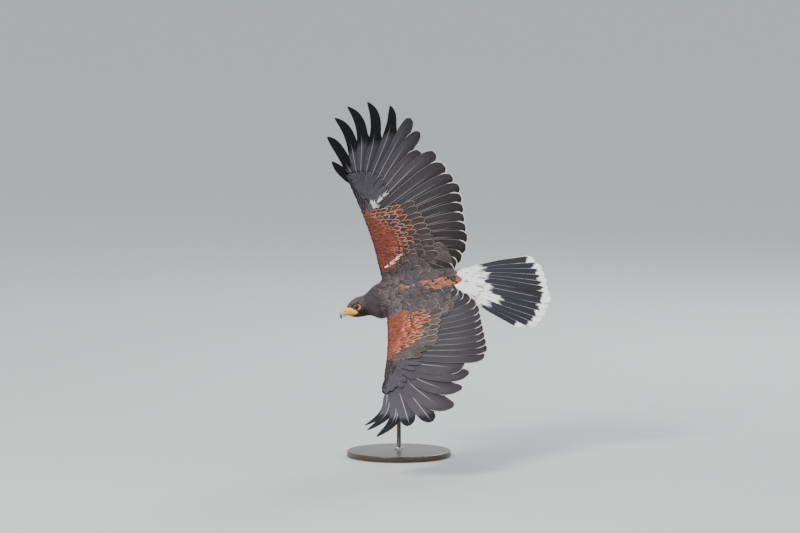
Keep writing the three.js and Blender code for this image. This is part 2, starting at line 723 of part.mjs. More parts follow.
// The soft yellow skin round the base of the bill, with the nostrils.
function cere() {
  const { base, cereLength, nostril, mouth } = bill;
  const rings = [
    headRing(base, 0, [10.2, 7.6, 12], 14),
    headRing(base + cereLength * 0.5, -0.5, [9, 7, 9], 14, 6),
    headRing(base + cereLength, -1.8, [7.4, 5.2, 6], 14, 10),
  ];
  let made = solidOf(loft(rings));
  for (const sign of [-1, 1]) {
    const hole = new THREE.SphereGeometry(1, 8, 6);
    hole.scale(nostril.length, 2.4, nostril.height).translate(nostril.x, sign * 9.2, nostril.z);
    made = made.subtract(solidOf(hole));
  }
  return largest(made.subtract(solidOf(belowMouth(mouth))));
}

// The space of the lower jaw, under the line of the mouth.
function belowMouth(height) {
  const box = new THREE.BoxGeometry(60, 40, 20);
  return box.translate(bill.base + 20, 0, height - 10);
}

// The upper half of the bill, hooked down at its tip.
function upperBill() {
  const { base, cereLength, reach, hookDrop } = bill;
  const start = base + cereLength + gap;
  const front = base + reach;
  const rings = [
    headRing(start, -1.8, [7.2, 5.2, 5.8], 12, 10),
    headRing(lerp(start, front, 0.36), -3, [6, 4.9, 5], 12, 20),
    headRing(lerp(start, front, 0.66), -5.6, [4.6, 4.4, 4.4], 12, 38),
    headRing(lerp(start, front, 0.86), -9.4, [3.2, 3.5, 3.6], 12, 58),
    headRing(lerp(start, front, 0.92), -14, [1.9, 2.2, 2.4], 12, 78),
    headRing(lerp(start, front, 0.86), -hookDrop, [0.5, 0.6, 0.7], 12, 98),
  ];
  return solidOf(loft(rings));
}

function lowerBill() {
  const { base, mouth } = bill;
  const rings = [
    headRing(base, mouth - 3.2, [6.4, 2.8, 3], 10),
    headRing(base + 6.5, mouth - 3.4, [5.2, 2.4, 2.6], 10),
    headRing(base + 12, mouth - 3.5, [2.6, 1.4, 1.6], 10),
  ];
  return solidOf(loft(rings));
}

// Legs

const mirrored = (place, sign) => new Vector3(place.x, sign * place.y, place.z);

function thigh(sign) {
  const middle = leg.hip.clone().lerp(leg.heel, 0.55).add(new Vector3(0, 3, -7));
  const places = [leg.hip, middle, leg.heel.clone().add(new Vector3(6, 0, 0))].map((p) => mirrored(p, sign));
  return solidOf(taperedTube(places, [leg.thighWidth, leg.thighWidth * 0.95, 7.5], 12, 6));
}

// Toe or claw: a start, a first direction and a last one, tapering to its end.
function curledTube(start, first, last, long, radii, around, steps) {
  const bend = start.clone().addScaledVector(first, long * 0.5);
  const end = bend.clone().addScaledVector(last, long * 0.5);
  return { solid: solidOf(taperedTube([start, bend, end], radii, around, steps)), end };
}

function footParts(sign) {
  const heel = mirrored(leg.heel, sign);
  const foot = mirrored(leg.foot, sign);
  const middle = heel.clone().lerp(foot, 0.5).add(new Vector3(0, 0, -2));
  const shank = taperedTube([heel.clone().add(new Vector3(3, 0, 0)), middle, foot], [6, leg.tarsusRadius, 6], 8, 4);
  const toes = [solidOf(shank)];
  const claws = leg.toeLengths.map((long, i) => {
    const aim = (drop) => {
      const [flat, down] = [degToRad(leg.toeSpread[i] * sign), degToRad(drop)];
      return new Vector3(-Math.cos(flat) * Math.cos(down), Math.sin(flat) * Math.cos(down), -Math.sin(down));
    };
    const curl = i === 3 ? -24 : 34;
    const drop = leg.toeDrop[i];
    const radii = [leg.toeRadius + 0.9, leg.toeRadius, leg.toeRadius - 0.8];
    const toe = curledTube(foot, aim(drop), aim(drop + curl), long, radii, 7, 4);
    toes.push(toe.solid);
    const out = aim(drop + curl * 1.2);
    const from = toe.end.clone().addScaledVector(out, gap + 0.35);
    return curledTube(from, out, aim(drop + curl * 2.8), leg.clawLengths[i], [2.6, 1.9, 0.35], 6, 4).solid;
  });
  return { foot: largest(union(toes)), claws };
}

// Assembly

const turnFor = ([axis, angle]) => new THREE.Matrix4().makeRotationAxis(axis, degToRad(angle));
const birdTurn = [
  [xAxis, -attitude.lean],
  [yAxis, -attitude.noseDown],
  [zAxis, attitude.turnAway],
  [xAxis, attitude.bank],
  [zAxis, attitude.heading],
].reduce((whole, step) => whole.multiply(turnFor(step)), new THREE.Matrix4());
aimHead(birdTurn);

const bird = new THREE.Group();
bird.quaternion.setFromRotationMatrix(birdTurn);
bird.position.set(stand.rodAside, -stand.rodBehind, bodyHeight);
bird.updateMatrixWorld(true);
const hawk = new THREE.Group();
hawk.add(bird);

function addTo(parent, name, solid, color, roughness = 0.75, metalness = 0) {
  const mesh = new THREE.Mesh(geometryOf(solid), new THREE.MeshStandardMaterial({ color, roughness, metalness }));
  mesh.name = name;
  parent.add(mesh);
}

const body = trunkLoft();
const bodyGrown = trunkLoft(gap);

for (const [name, side] of Object.entries(sides)) {
  addTo(bird, `wing_${name}_arm`, arm(side, bodyGrown), colours.rufous);
  addTo(bird, `wing_${name}_hand`, hand(side), colours.darkBrown);
  addTo(bird, `wing_${name}_primaries`, primaries(side), colours.blackBrown);
  addTo(bird, `wing_${name}_secondaries`, secondaries(side, bodyGrown), colours.darkBrown);
}

for (const [name, sign] of [["right", -1], ["left", 1]]) {
  const { foot, claws } = footParts(sign);
  addTo(bird, `eye_${name}`, inHeadFrame(eyeBall(sign)), colours.eye, 0.15);
  addTo(bird, `thigh_${name}`, largest(thigh(sign).subtract(bodyGrown)), colours.rufous);
  addTo(bird, `foot_${name}`, foot, colours.leg, 0.5);
  claws.forEach((claw, i) => addTo(bird, `claw_${name}_${i + 1}`, claw, colours.claw, 0.3));
}

addTo(bird, "head", inHeadFrame(skull()), colours.darkBrown);
addTo(bird, "cere", inHeadFrame(cere()), colours.cere, 0.5);
addTo(bird, "bill_upper", inHeadFrame(upperBill()), colours.horn, 0.35);
addTo(bird, "bill_lower", inHeadFrame(lowerBill()), colours.horn, 0.4);
addTo(bird, "neck", neckSolid(), colours.darkBrown);

const wingRoots = Object.values(sides).map((side) => armCore(wingSpace(side), 0.6));
const feathered = union(body.intersect(sideOf(neckStart, false)).intersect(sideOf(rumpStart, true)), scapulars(1), scapulars(-1));
addTo(bird, "torso", largest(feathered.subtract(union(wingRoots))), colours.darkBrown);
addTo(bird, "rump", rumpSolid(body), colours.white);
addTo(bird, "tail", tailSolid(), colours.blackBrown);

// The stand.
const profile = [
  [0, 0],
  [stand.radius, 0],
  [stand.radius, stand.thick - stand.edge],
  [stand.radius - stand.edge, stand.thick],
  [0, stand.thick],
].map(([r, z]) => new THREE.Vector2(r, z));
const disc = new THREE.LatheGeometry(profile, 40);
disc.rotateX(Math.PI / 2).translate(0, stand.baseForward, 0);
addTo(hawk, "stand_base", solidOf(disc), colours.wood, 0.45);
const rod = new THREE.CylinderGeometry(stand.rodRadius, stand.rodRadius, bodyHeight - stand.thick - gap, 16);
rod.rotateX(Math.PI / 2).translate(0, 0, (bodyHeight + stand.thick + gap) / 2);
const bodyInWorld = solidOf(geometryOf(bodyGrown).applyMatrix4(bird.matrixWorld));
addTo(hawk, "stand_rod", largest(solidOf(rod).subtract(bodyInWorld)), colours.steel, 0.3, 0.9);

export default hawk;
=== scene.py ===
import math

import bmesh
import bpy
import numpy as np
from mathutils import Matrix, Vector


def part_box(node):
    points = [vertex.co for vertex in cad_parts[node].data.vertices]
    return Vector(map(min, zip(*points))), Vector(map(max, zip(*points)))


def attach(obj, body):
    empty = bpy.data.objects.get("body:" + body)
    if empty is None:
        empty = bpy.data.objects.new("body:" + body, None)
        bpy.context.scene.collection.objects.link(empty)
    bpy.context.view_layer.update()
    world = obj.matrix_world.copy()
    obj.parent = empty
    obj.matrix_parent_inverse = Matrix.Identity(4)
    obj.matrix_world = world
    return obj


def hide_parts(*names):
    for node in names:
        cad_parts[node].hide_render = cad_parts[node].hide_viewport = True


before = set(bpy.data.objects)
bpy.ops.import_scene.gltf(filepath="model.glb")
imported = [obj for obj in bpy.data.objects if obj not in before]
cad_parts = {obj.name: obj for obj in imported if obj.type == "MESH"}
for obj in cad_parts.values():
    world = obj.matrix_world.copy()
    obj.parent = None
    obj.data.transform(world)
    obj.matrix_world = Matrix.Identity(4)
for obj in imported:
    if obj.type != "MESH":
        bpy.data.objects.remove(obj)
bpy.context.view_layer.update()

RNG = np.random.default_rng(7)
draw, chance = RNG.uniform, RNG.random
MM = 0.001

# Attitude of the whole bird, and its place over the stand.
HEADING, BANK, TURN_AWAY, NOSE_DOWN, LEAN = 180, 79, -6, 10, 6
BIRD_PLACE = np.array([-6.0, -24.0, 400.0])

# Trunk rows from the neck to the tail root.
TRUNK = {
    "x": [52, 28, -5, -45, -90, -128, -150],
    "side": [24, 13, 4, 0, 0, 0, 0],
    "mid": [0, -2, -4, -4, -1, 3, 6],
    "wide": [37, 47, 52, 46, 36, 26, 20],
    "top": [36, 44, 46, 42, 33, 22, 15],
    "bottom": [36, 47, 54, 50, 38, 25, 15],
}
NECK_START = 40

# Head in its own frame: x to the bill, y to its left, z to the crown.
HEAD_PLACE = np.array([96.0, 23.0, -3.0])
HEAD = {
    "x": [-16, -6, 4, 14, 23, 29],
    "wide": [23, 24, 23, 20, 15, 10.8],
    "top": [25, 25, 23, 19.5, 14, 8.4],
    "bottom": [26, 25, 24, 22, 18, 14],
}
HEAD_PITCH, HEAD_TIP = 15, 12
HEAD_RINGS, NECK_RINGS, TRUNK_RINGS = 14, 9, 24
EYE = {"x": 5.0, "y": 15.3, "z": 8.5, "radius": 6.9}
LID_RADIUS = 6.0
BILL_BASE, CERE_LONG, BILL_REACH, HOOK_DROP = 29.4, 9.6, 19.0, 18.4
MOUTH = -8
NOSTRIL, NOSTRIL_SIDE = (34.0, 0.4, 2.0, 1.5), 7.4  # x, z, length and height, and how far out it lies

# Wings, flat from the shoulder joint: x outwards, y forwards.
SHOULDER = np.array([22.0, 40.0, 28.0])
WRIST = np.array([168.0, 18.0])
HAND_END = np.array([244.0, 38.0])
CAMBER, CAMBER_LINE = 3.1, -20
BEND_FROM, BEND_TO = -40, 140
LEAD_X, REAR_ELBOW = 32, (80.0, -46.0)
SIDES = {
    "right": {
        "sign": -1,
        "sweep": -3.5,
        "raise": 30.8,
        "curl_axis": 28,
        "curl": 33.6,
        "reach": [225, 204, 250, 285, 323, 346, 346, 320, 266, 180],
        "fan": [-56.6, -48.4, -38.6, -28.6, -17.9, -7.6, 0.5, 6.5, 12.9, 18.8],
        "secondary_out": 254,
        "secondary_in": 14,
        "inner_vane": (16, 27),
        "bow": [0.03, 0.03, 0.02, -0.02, -0.05, -0.065, -0.065, -0.05, -0.01, 0.025],
        "quill": 0.75,
        # painted light: this wing's coverts are painted this much brighter for the light that falls on them
        "painted_light": 1.05,
        "shoulder_to": ([-141, -108, -72, -47, -8, 30], [24, 42, 44, 37, 9, 5]),
        "covert_reach": ([0, 29, 46, 72, 99, 126, 148, 178], [99, 97, 87, 83, 87, 95, 96, 96]),
        "edged_to": ([32, 54, 71, 95, 118, 139, 156, 170], [24, 32, 42, 58, 72, 82, 79, 70]),
        "solid_to": ([40, 59, 97, 132, 156, 175], [-10, -8, 0, -4, -20, -30]),
        "edged_front": ([84, 104, 126, 150, 172], [-40, 2, 20, 38, 44]),
        "tufts": [
            (174, 0, -14, 17, 7), (181, -1, 2, 14, 5), (186, 4, -30, 12, 4),
            (186, -12, -50, 20, 4), (198, -26, -52, 20, 3),
            (20, -8, -64, 13, 4), (28, -22, -56, 13, 4), (37, -34, -50, 13, 4), (44, -42, -66, 10, 3),
        ],
    },
    "left": {
        "sign": 1,
        "sweep": -4.5,
        "raise": 28.4,
        "curl_axis": 0,
        "curl": 26.1,
        "reach": [188, 214, 246, 306, 333, 317, 290, 331, 288, 262],
        "fan": [-68, -56, -38, -23.8, -14.4, -5.5, 1.2, 8.1, 13.8, 16.4],
        "secondary_out": 214,
        "secondary_in": 20,
        "inner_vane": (35, 39),
        "bow": [0.03, 0.03, 0.03, 0.02, 0, 0, -0.04, -0.11, -0.12, -0.13],
        "quill": 1.0,
        # painted light: this wing's coverts are painted this much brighter for the light that falls on them
        "painted_light": 1.55,
        "shoulder_to": ([-123, -86, -51, -15, 30], [38, 38, 36, 30, 32]),
        "covert_reach": ([0, 51, 80, 109, 140, 146, 172], [84, 78, 70, 75, 83, 62, 52]),
        "edged_to": ([20, 44, 74, 104, 124, 135, 145, 170], [46, 50, 45, 44, 38, 18, 2, -15]),
        "solid_to": ([36, 73, 100, 125, 150, 170], [-10, -13, -17, -23, -26, -30]),
        "edged_front": ([30, 70, 100, 125, 170], [-40, 10, 14, 16, 8]),
        "tufts": [],
    },
}
SECONDARIES, TERTIALS = 10, 4
TRAILING_EDGE = -213  # where the secondaries end, behind the shoulder
FINGERS = (84, 132, 112)  # length past the notch of the fifth, sixth and tenth primary
HAND_COVER = ([0, 0.22, 0.45, 0.7, 1], [58, 74, 78, 70, 50])  # reach of the hand's coverts, by share out
CORE_FULL, CORE_REAR = (9.5, 4.6, 1.4), (6.6, 5.6)  # fullness at shoulder, wrist and tip; rear rise and drop
LAYER = 1.0  # height from one vane to the next over it
BOW_PEAK = 27 / 4  # brings the greatest bend of a bowed feather to its bow times its length

# Rows of coverts, as reach behind the fleshy wing or hand, length, half width and count.
ARM_ROWS = (
    (1.0, 80, 10.6, 12), (0.66, 56, 9.4, 13), (0.46, 46, 8.4, 15), (0.29, 39, 7.6, 17), (0.14, 33, 7.0, 18),
    (0.0, 29, 6.4, 20), (-0.12, 25, 5.8, 22),
)
HAND_ROWS = {
    "over": ((1.0, 84, 7.8, 10), (0.62, 56, 7.0, 10), (0.36, 38, 6.0, 11)),
    "under": ((0.82, 60, 9.5, 9), (0.55, 42, 8.0, 11), (0.36, 26, 6.5, 12)),
}
UNDER_ROWS = ((62, 44, 9.5, 10), (40, 34, 8.0, 13), (20, 28, 7.0, 15))
SHOULDER_EDGE = {  # how far from the spine the shoulder feathers reach, by place ahead
    "right": ([-118, -86, -50, -25, 8, 20, 44], [62, 74, 76, 72, 56, 38, 22]),
    "left": ([-118, -86, -50, -25, 14, 30, 44], [62, 76, 78, 76, 70, 58, 40]),
}
SOFT_MEET = 3.0  # how softly the back runs over into the wing

# Tail. Tips of the feathers from the middle out, as length and angle.
TAIL_ROOT = np.array([-150.0, 0.0, 7.0])
TAIL_TO_LEFT, TAIL_DROOP, TAIL_ARCH = 20, 3, 0.00045
TAIL_RIGHT = [(224, 1.6), (219, 4.9), (215, 9.2), (210, 13.6), (204, 18.2), (191, 24.5)]
TAIL_LEFT = [(231, 1.8), (228, 6.4), (227, 11.0), (226, 14.8), (221, 18.8), (194, 24.0)]
# Coverts over and then under the tail: pairs, length, start, height at root and tip, spread, half width.
TAIL_COVERTS = (
    (7, 66, 4, (8.2, 4.4), 22, 6.5), (7, 46, 2, (9.4, 6.0), 22, 6.5), (6, 30, -2, (10.4, 8.0), 20, 6.5),
    (6, 98, -14, (-11.4, -5.4), 18, 9), (6, 72, -20, (-13.2, -8.0), 17, 9),
    (6, 48, -24, (-14.6, -10.0), 17, 8),
)

# Body feathers: length and half width on the head and on the back; thighs at the hip and at the heel.
HEAD_TUFT, BODY_TUFT = (5.2, 1.7), (21, 6.2)
HIP_TUFT, HEEL_TUFT = (24, 7.5), (13, 4)
BODY_STEP, THIGH_STEP = 0.36, 0.32  # from row to row, as shares of a feather's length
SKIN_DEPTH, WING_DEPTH = (0.9, 2.6), 1.3  # how far the skin lies under the feathers' ground
SKIN_ARM, SKIN_HAND, SKIN_TAIL = (62, 74), (190, 205), (128, 140)  # where the skin's colour turns

# Legs.
HIP, HEEL = np.array([-38.0, 27, -33]), np.array([-112.0, 22, -45])

# Stand.
BASE_RADIUS, BASE_THICK, BASE_EDGE, BASE_FOOT, BASE_FORWARD = 125, 14, 2.5, 1.2, -24
ROD_RADIUS = 5
COLLAR = (  # radius and height
    (10, 13.8), (10, 17), (9.4, 18), (ROD_RADIUS + 0.1, 18.6), (ROD_RADIUS + 0.1, 13.8),
)

# Camera and floor, in metres.
DISTANCE, FLOOR_RADIUS, VIEW_END = 14.0, 60.0, 100
SENSOR, PICTURE_WIDE = 36, 800  # millimetres, pixels
PIXEL = 2.4  # millimetres at the body for each pixel of the frame
BODY_OFFSET = (-3.6, 24.2)  # the body's middle from the middle of the frame, in pixels right and down

# Meshes: the unwrap, the columns of a blade, and looks that several kinds of feather share.
SKIN_EVEN, FOOT_EVEN, CLAW_EVEN = (0.0015, 3), (0.001, 2), (0.00045, 2)  # voxel in metres, smoothing
UNWRAP_FROM, UNWRAP_WIDE, PATCH = 0.02, 0.95, 0.003
THINNEST = 0.03  # least share of its width that a blade keeps on each side
FINE = np.array([-1, -0.94, -0.82, -0.6, -0.36, -0.14, 0, 0.14, 0.36, 0.6, 0.82, 0.94, 1])
MEDIUM = np.array([-1, -0.88, -0.55, -0.2, 0, 0.2, 0.55, 0.88, 1])
SMALL = np.array([-1, -0.6, 0, 0.6, 1])
FLIGHT_BLADE = {"columns": FINE, "thick": 0.5, "ragged": 0.03, "even": 0.95}
COVERT_BLADE = {"columns": MEDIUM, "thick": 0.3, "rows": 15, "ridge": 0.15}
TUFT_BLADE = {"thick": 0.25, "ridge": 0.1}

# Colours of the plumage and bare skin, linear.
DARK = np.array([0.030, 0.026, 0.028])
BROWN = np.array([0.036, 0.028, 0.028])
MANTLE = np.array([0.080, 0.068, 0.074])
GREATER = np.array([0.060, 0.047, 0.045])
SLATE = np.array([0.078, 0.075, 0.090])
INK = np.array([0.0042, 0.0041, 0.006])
TAIL_DARK = np.array([0.023, 0.0225, 0.030])
RUFOUS = np.array([0.165, 0.041, 0.024])
RUFOUS_PALE = np.array([0.44, 0.19, 0.115])
FLAME = np.array([0.50, 0.155, 0.042])
RUMP = np.array([0.31, 0.118, 0.066])
BUFF = np.array([0.33, 0.24, 0.20])
GREY_TIP = np.array([0.62, 0.57, 0.54])
FINE_EDGE = np.array([0.34, 0.28, 0.265])
WHITE = np.array([0.93, 0.92, 0.90])
SHAFT_PALE = np.array([0.42, 0.39, 0.38])
YELLOW = np.array([0.97, 0.43, 0.03])
YELLOW_PALE = np.array([0.98, 0.60, 0.12])
ORBIT = np.array([0.46, 0.19, 0.08])


# Turns and curves

def heading(degrees):
    """The unit vector at an angle on the flat."""
    return np.array([math.cos(math.radians(degrees)), math.sin(math.radians(degrees))])


def to_left(ahead):
    return np.array([-ahead[1], ahead[0]])


def on_plane(root, ahead, along, aside):
    """Places on the flat at distances from a root along a direction and to the left of it."""
    return [root[k] + ahead[k] * along + to_left(ahead)[k] * aside for k in (0, 1)]


def turn(axis, degrees):
    c, s = heading(degrees)
    rows = {
        "x": [[1, 0, 0], [0, c, -s], [0, s, c]],
        "y": [[c, 0, s], [0, 1, 0], [-s, 0, c]],
        "z": [[c, -s, 0], [s, c, 0], [0, 0, 1]],
    }
    return np.array(rows[axis], float)


def round_angles(count):
    """Evenly spaced angles all the way round, in radians."""
    return np.linspace(0, 2 * math.pi, count, endpoint=False)


def unit(v):
    return v / np.linalg.norm(v, axis=-1, keepdims=True)


BIRD = turn("x", -LEAN) @ turn("y", -NOSE_DOWN) @ turn("z", TURN_AWAY) @ turn("x", BANK) @ turn("z", HEADING)


def head_turn():
    """The head is held near level while the body banks, so it is aimed in the world."""
    pitch, tip = heading(HEAD_PITCH), heading(HEAD_TIP)
    forward = np.array([-pitch[0], 0, -pitch[1]])
    left = unit(np.cross([0, -tip[1], tip[0]], forward))
    up = np.cross(forward, left)
    return BIRD.T @ np.stack([forward, left, up], axis=1)


HEAD_TURN = head_turn()


def to_frame(points):
    """From the bird's frame in millimetres to the shared frame in metres."""
    return (np.asarray(points) @ BIRD.T + BIRD_PLACE) * MM


def from_head(points):
    return np.asarray(points) @ HEAD_TURN.T + HEAD_PLACE


def to_head(points):
    return (points - HEAD_PLACE) @ HEAD_TURN


def smoothstep(x, low, high):
    t = np.clip((x - low) / (high - low), 0, 1)
    return t * t * (3 - 2 * t)


def lerp(a, b, t):
    return a + (b - a) * t


def blend(a, b, t):
    """Between two colours, at one share or at an array of them."""
    return np.asarray(a) + (np.asarray(b) - np.asarray(a)) * np.asarray(t)[..., None]


def jitter(colour, amount):
    return np.asarray(colour) * (1 + amount * draw(-1, 1))


def smooth_row(values):
    """Reads a smooth curve through evenly spaced values at a share from 0 to 1."""
    v = np.asarray(values, float)
    padded = np.concatenate([[2 * v[0] - v[1]], v, [2 * v[-1] - v[-2]]])

    def at(share):
        t = np.clip(share, 0, 1) * (len(v) - 1)
        i = np.minimum(t.astype(int) if isinstance(t, np.ndarray) else int(t), len(v) - 2)
        f = t - i
        a, b, c, d = padded[i], padded[i + 1], padded[i + 2], padded[i + 3]
        return b + 0.5 * f * (c - a + f * (2 * a - 5 * b + 4 * c - d + f * (3 * (b - c) + d - a)))

    return at


def curves(table):
    return {name: smooth_row(row) for name, row in table.items()}


def share_at(curve, value):
    """The share at which a smooth row comes nearest to a value."""
    shares = np.linspace(0, 1, 400)
    return shares[np.argmin(abs(curve(shares) - value))]


# The body as one tube of rings from the bill to the root of the tail

def part_turn(share):
    """A turn part of the way from the trunk's frame to the head's."""
    angle = math.acos((np.trace(HEAD_TURN) - 1) / 2)
    spin = (HEAD_TURN - HEAD_TURN.T) / (2 * math.sin(angle))
    return np.eye(3) + math.sin(angle * share) * spin + (1 - math.cos(angle * share)) * spin @ spin


def body_rings():
    """Rows of ring middle, sideways, upwards, half width, height above and height below."""
    head, trunk = curves(HEAD), curves(TRUNK)

    def sizes(rows, share):
        return [rows[name](share) for name in ("wide", "top", "bottom")]

    def trunk_middle(share):
        return np.array([trunk[name](share) for name in ("x", "side", "mid")])

    rings = []
    for share in np.linspace(1, 0, HEAD_RINGS):
        middle = from_head([head["x"](share), 0, 0])
        rings.append([middle, HEAD_TURN[:, 1], HEAD_TURN[:, 2], *sizes(head, share)])
    start = share_at(trunk["x"], NECK_START)
    low = np.array([NECK_START, trunk["side"](start), trunk["mid"](start)])
    high = from_head([HEAD["x"][0], 0, 0])
    ends = [sizes(trunk, start), rings[-1][3:]]
    for t in np.linspace(0.9, 0.1, NECK_RINGS):
        aim = part_turn(t)
        swell = 2 * math.sin(math.pi * t)
        between = [lerp(a, b, smoothstep(t, 0, 1)) + swell for a, b in zip(*ends)]
        rings.append([lerp(low, high, t), aim[:, 1], aim[:, 2], *between])
    for share in np.linspace(start, 1, TRUNK_RINGS):
        rings.append([trunk_middle(share), *np.eye(3)[1:], *sizes(trunk, share)])
    swing = turn("z", -TAIL_TO_LEFT)
    for far in (10, 20, 30):
        middle = TAIL_ROOT + swing @ np.array([-far, 0, -1.0])
        wide, tall = 20 + 0.1 * far, 13 - 0.16 * far
        rings.append([middle, swing[:, 1], np.array([0, 0, 1.0]), wide, tall, tall])
    return rings


class Tube:
    """A surface of rings, read at a distance along it and an angle in radians, from its left upward."""

    def __init__(self, rings):
        self.middle, self.side, self.up = [np.array([r[k] for r in rings]) for k in range(3)]
        self.sizes = np.array([r[3:] for r in rings], float)
        steps = np.linalg.norm(np.diff(self.middle, axis=0), axis=1)
        self.along = np.concatenate([[0], np.cumsum(steps)])
        self.length = self.along[-1]

    def read(self, row, along):
        return np.stack([np.interp(along, self.along, row[:, k]) for k in range(row.shape[1])], axis=-1)

    def at(self, along, angle, height=0.0):
        rows = (self.middle, self.side, self.up, self.sizes)
        middle, side, up, sizes = [self.read(row, along) for row in rows]
        cos, sin = np.cos(angle), np.sin(angle)
        tall = np.where(sin > 0, sizes[..., 1], sizes[..., 2])
        wide, high = (sizes[..., 0] + height) * cos, (tall + height) * sin
        return middle + side * wide[..., None] + up * high[..., None]


BODY = Tube(body_rings())
HEAD_LONG = BODY.along[HEAD_RINGS - 1]
TRUNK_FROM = BODY.along[HEAD_RINGS + NECK_RINGS]
TRUNK_END = BODY.along[HEAD_RINGS + NECK_RINGS + TRUNK_RINGS - 1]


# Wing and tail space

def leading_edge(x):
    share = np.clip(x, 0, WRIST[0]) / WRIST[0]
    return lerp(8, LEAD_X, x / WRIST[0]) - 4 * np.sin(math.pi * share)


def rear_line(x):
    """The rear of the fleshy arm, which turns softly at the elbow."""
    elbow_x, elbow_y = REAR_ELBOW
    ulna = lerp(elbow_y, 2, (x - elbow_x) / (WRIST[0] - elbow_x))
    beyond = lerp(ulna, elbow_y, 0.5 * np.exp(-np.abs(x - elbow_x) / 14))
    within = elbow_y + 0.5 * (ulna - elbow_y) * np.exp(-np.abs(elbow_x - x) / 14)
    return np.where(x > elbow_x, beyond, within)


def hand_share(x):
    return (x - WRIST[0]) / (HAND_END[0] - WRIST[0])


def hand_rear(x):
    return lerp(2, HAND_END[1] - 5, hand_share(x))


def core_edges(x):
    """Rear and front of the fleshy wing."""
    hand_lead = lerp(LEAD_X, HAND_END[1] + 9, hand_share(x))
    on_arm = x < WRIST[0]
    return np.where(on_arm, rear_line(x), hand_rear(x)), np.where(on_arm, leading_edge(x), hand_lead)


def wing_space(side):
    """Carries points of the flat wing to the bird: raised, swept and with its hand curled up."""
    across = heading(side["curl_axis"])
    beside = to_left(across)
    past = np.linspace(BEND_FROM, BEND_TO, 60)
    angle = np.radians(side["curl"]) * smoothstep(past, BEND_FROM, BEND_TO)
    step = past[1] - past[0]
    middle = (angle[1:] + angle[:-1]) / 2
    out = BEND_FROM + np.concatenate([[0], np.cumsum(np.cos(middle) * step)])
    up = np.concatenate([[0], np.cumsum(np.sin(middle) * step)])
    sweep, lift = heading(side["sweep"]), heading(side["raise"])

    def place(x, y, z):
        x, y, z = np.broadcast_arrays(np.asarray(x, float), y, z)
        z = z - CAMBER * ((y - CAMBER_LINE) / 100) ** 2
        offset = np.stack([x, y], axis=-1) - WRIST
        over, aside = offset @ across, offset @ beside
        turned = np.interp(over, past, angle)
        extra = np.maximum(over - BEND_TO, 0)
        spot_out = np.where(over < BEND_FROM, over, np.interp(over, past, out)) + extra * math.cos(angle[-1])
        spot_up = np.interp(over, past, up) + extra * math.sin(angle[-1])
        far = spot_out - z * np.sin(turned)
        high = spot_up + z * np.cos(turned)
        flat = WRIST + across * far[..., None] + beside * aside[..., None]
        flat_x = flat[..., 0] * sweep[0] - flat[..., 1] * sweep[1]
        flat_y = flat[..., 0] * sweep[1] + flat[..., 1] * sweep[0]
        wide = flat_x * lift[0] - high * lift[1]
        tall = flat_x * lift[1] + high * lift[0]
        leftward = side["sign"] * (SHOULDER[1] + wide)
        return np.stack([SHOULDER[0] + flat_y, leftward, SHOULDER[2] + tall], axis=-1)

    return place


def tail_space(sign):
    droop, swing = turn("y", -TAIL_DROOP), turn("z", -TAIL_TO_LEFT)

    def place(x, y, z):
        x, y, z = np.broadcast_arrays(np.asarray(x, float), y, z)
        flat = np.stack([-x, sign * y, z - TAIL_ARCH * y ** 2], axis=-1)
        return flat @ droop.T @ swing.T + TAIL_ROOT

    return place


# Outlines of feathers: widths ahead of and behind the shaft, as shares of the greatest ones

def rounded(v, start, power):
    t = np.clip((v - start) / (1 - start), 0, 1)
    return (1 - t ** 2) ** power


def oval_vane(shares, widths, start, power=0.5, lead=1.0):
    """A blade with widths read at shares of its length, rounded off from one of them on."""
    def at(v):
        wide = np.interp(v, shares, widths) * rounded(v, start, power)
        return wide * lead, wide

    return at


def eased(table, reach=0.035):
    """Rows of share, leading width and trailing width as soft curves."""
    table = np.array(table, float)
    steps = np.linspace(-reach, reach, 7)

    def at(v):
        # Near the tip the curve is read less softly, so that the outline still ends where the table does.
        near = np.clip((1 - v) / reach, 0.15, 1) * np.clip(v / reach, 0.15, 1)
        spots = np.clip(v[None] + steps[:, None] * near[None], 0, 1)
        return tuple(np.interp(spots, table[:, 0], table[:, k]).mean(0) for k in (1, 2))

    return at


def tuft_vane(v):
    wide = (v + 0.25) ** 0.5 * rounded(v, 0.35, 0.6)
    return wide, wide


def finger_vane(notch, tip):
    """A primary that narrows past a notch; tip has its widths from there on."""
    inner = (0, 0.14, 0.14), (0.32, 0.86, 0.8), (notch - 0.05, 1, 1)
    return eased([*inner, (notch + 0.04, *tip[0]), *tip[1:]])


covert_vane = oval_vane([0, 0.3, 0.6, 1], [0.45, 0.9, 1, 1], 0.72)
leaf_vane = oval_vane([0, 0.3, 1], [0.5, 0.95, 1.0], 0.45, 0.62)
slim_vane = oval_vane([0, 0.35, 0.8, 1], [0.5, 0.85, 1.0, 1.0], 0.8, 0.5, 0.9)
BROAD = [
    (0, 0.14, 0.14), (0.34, 0.84, 0.8), (0.68, 1, 1), (0.9, 0.97, 0.94), (0.95, 0.86, 0.82),
    (0.98, 0.62, 0.58), (1, 0.2, 0.18),
]
broad_vane = eased(BROAD)
wrist_vane = eased([BROAD[0], (0.09, 0.6, 0.4), *BROAD[1:]])
tail_vane = eased([
    (share, wide, wide) for share, wide in
    ((0, 0.2), (0.2, 0.75), (0.5, 1), (0.88, 1), (0.93, 0.93), (0.965, 0.75), (0.988, 0.44), (1, 0.15))
])
front_vane = eased([
    (0, 0.8, 0.3), (0.25, 1.45, 0.6), (0.5, 1.3, 0.6), (0.7, 1.0, 0.42), (0.85, 0.66, 0.28),
    (0.95, 0.36, 0.12), (1, 0.12, -0.06),
])
SHARP_TIP = (
    (0.92, 0.64), (0.8, 0.82, 0.56), (0.9, 0.72, 0.42), (0.96, 0.58, 0.22), (0.99, 0.42, 0.04),
    (1, 0.3, -0.06),
)
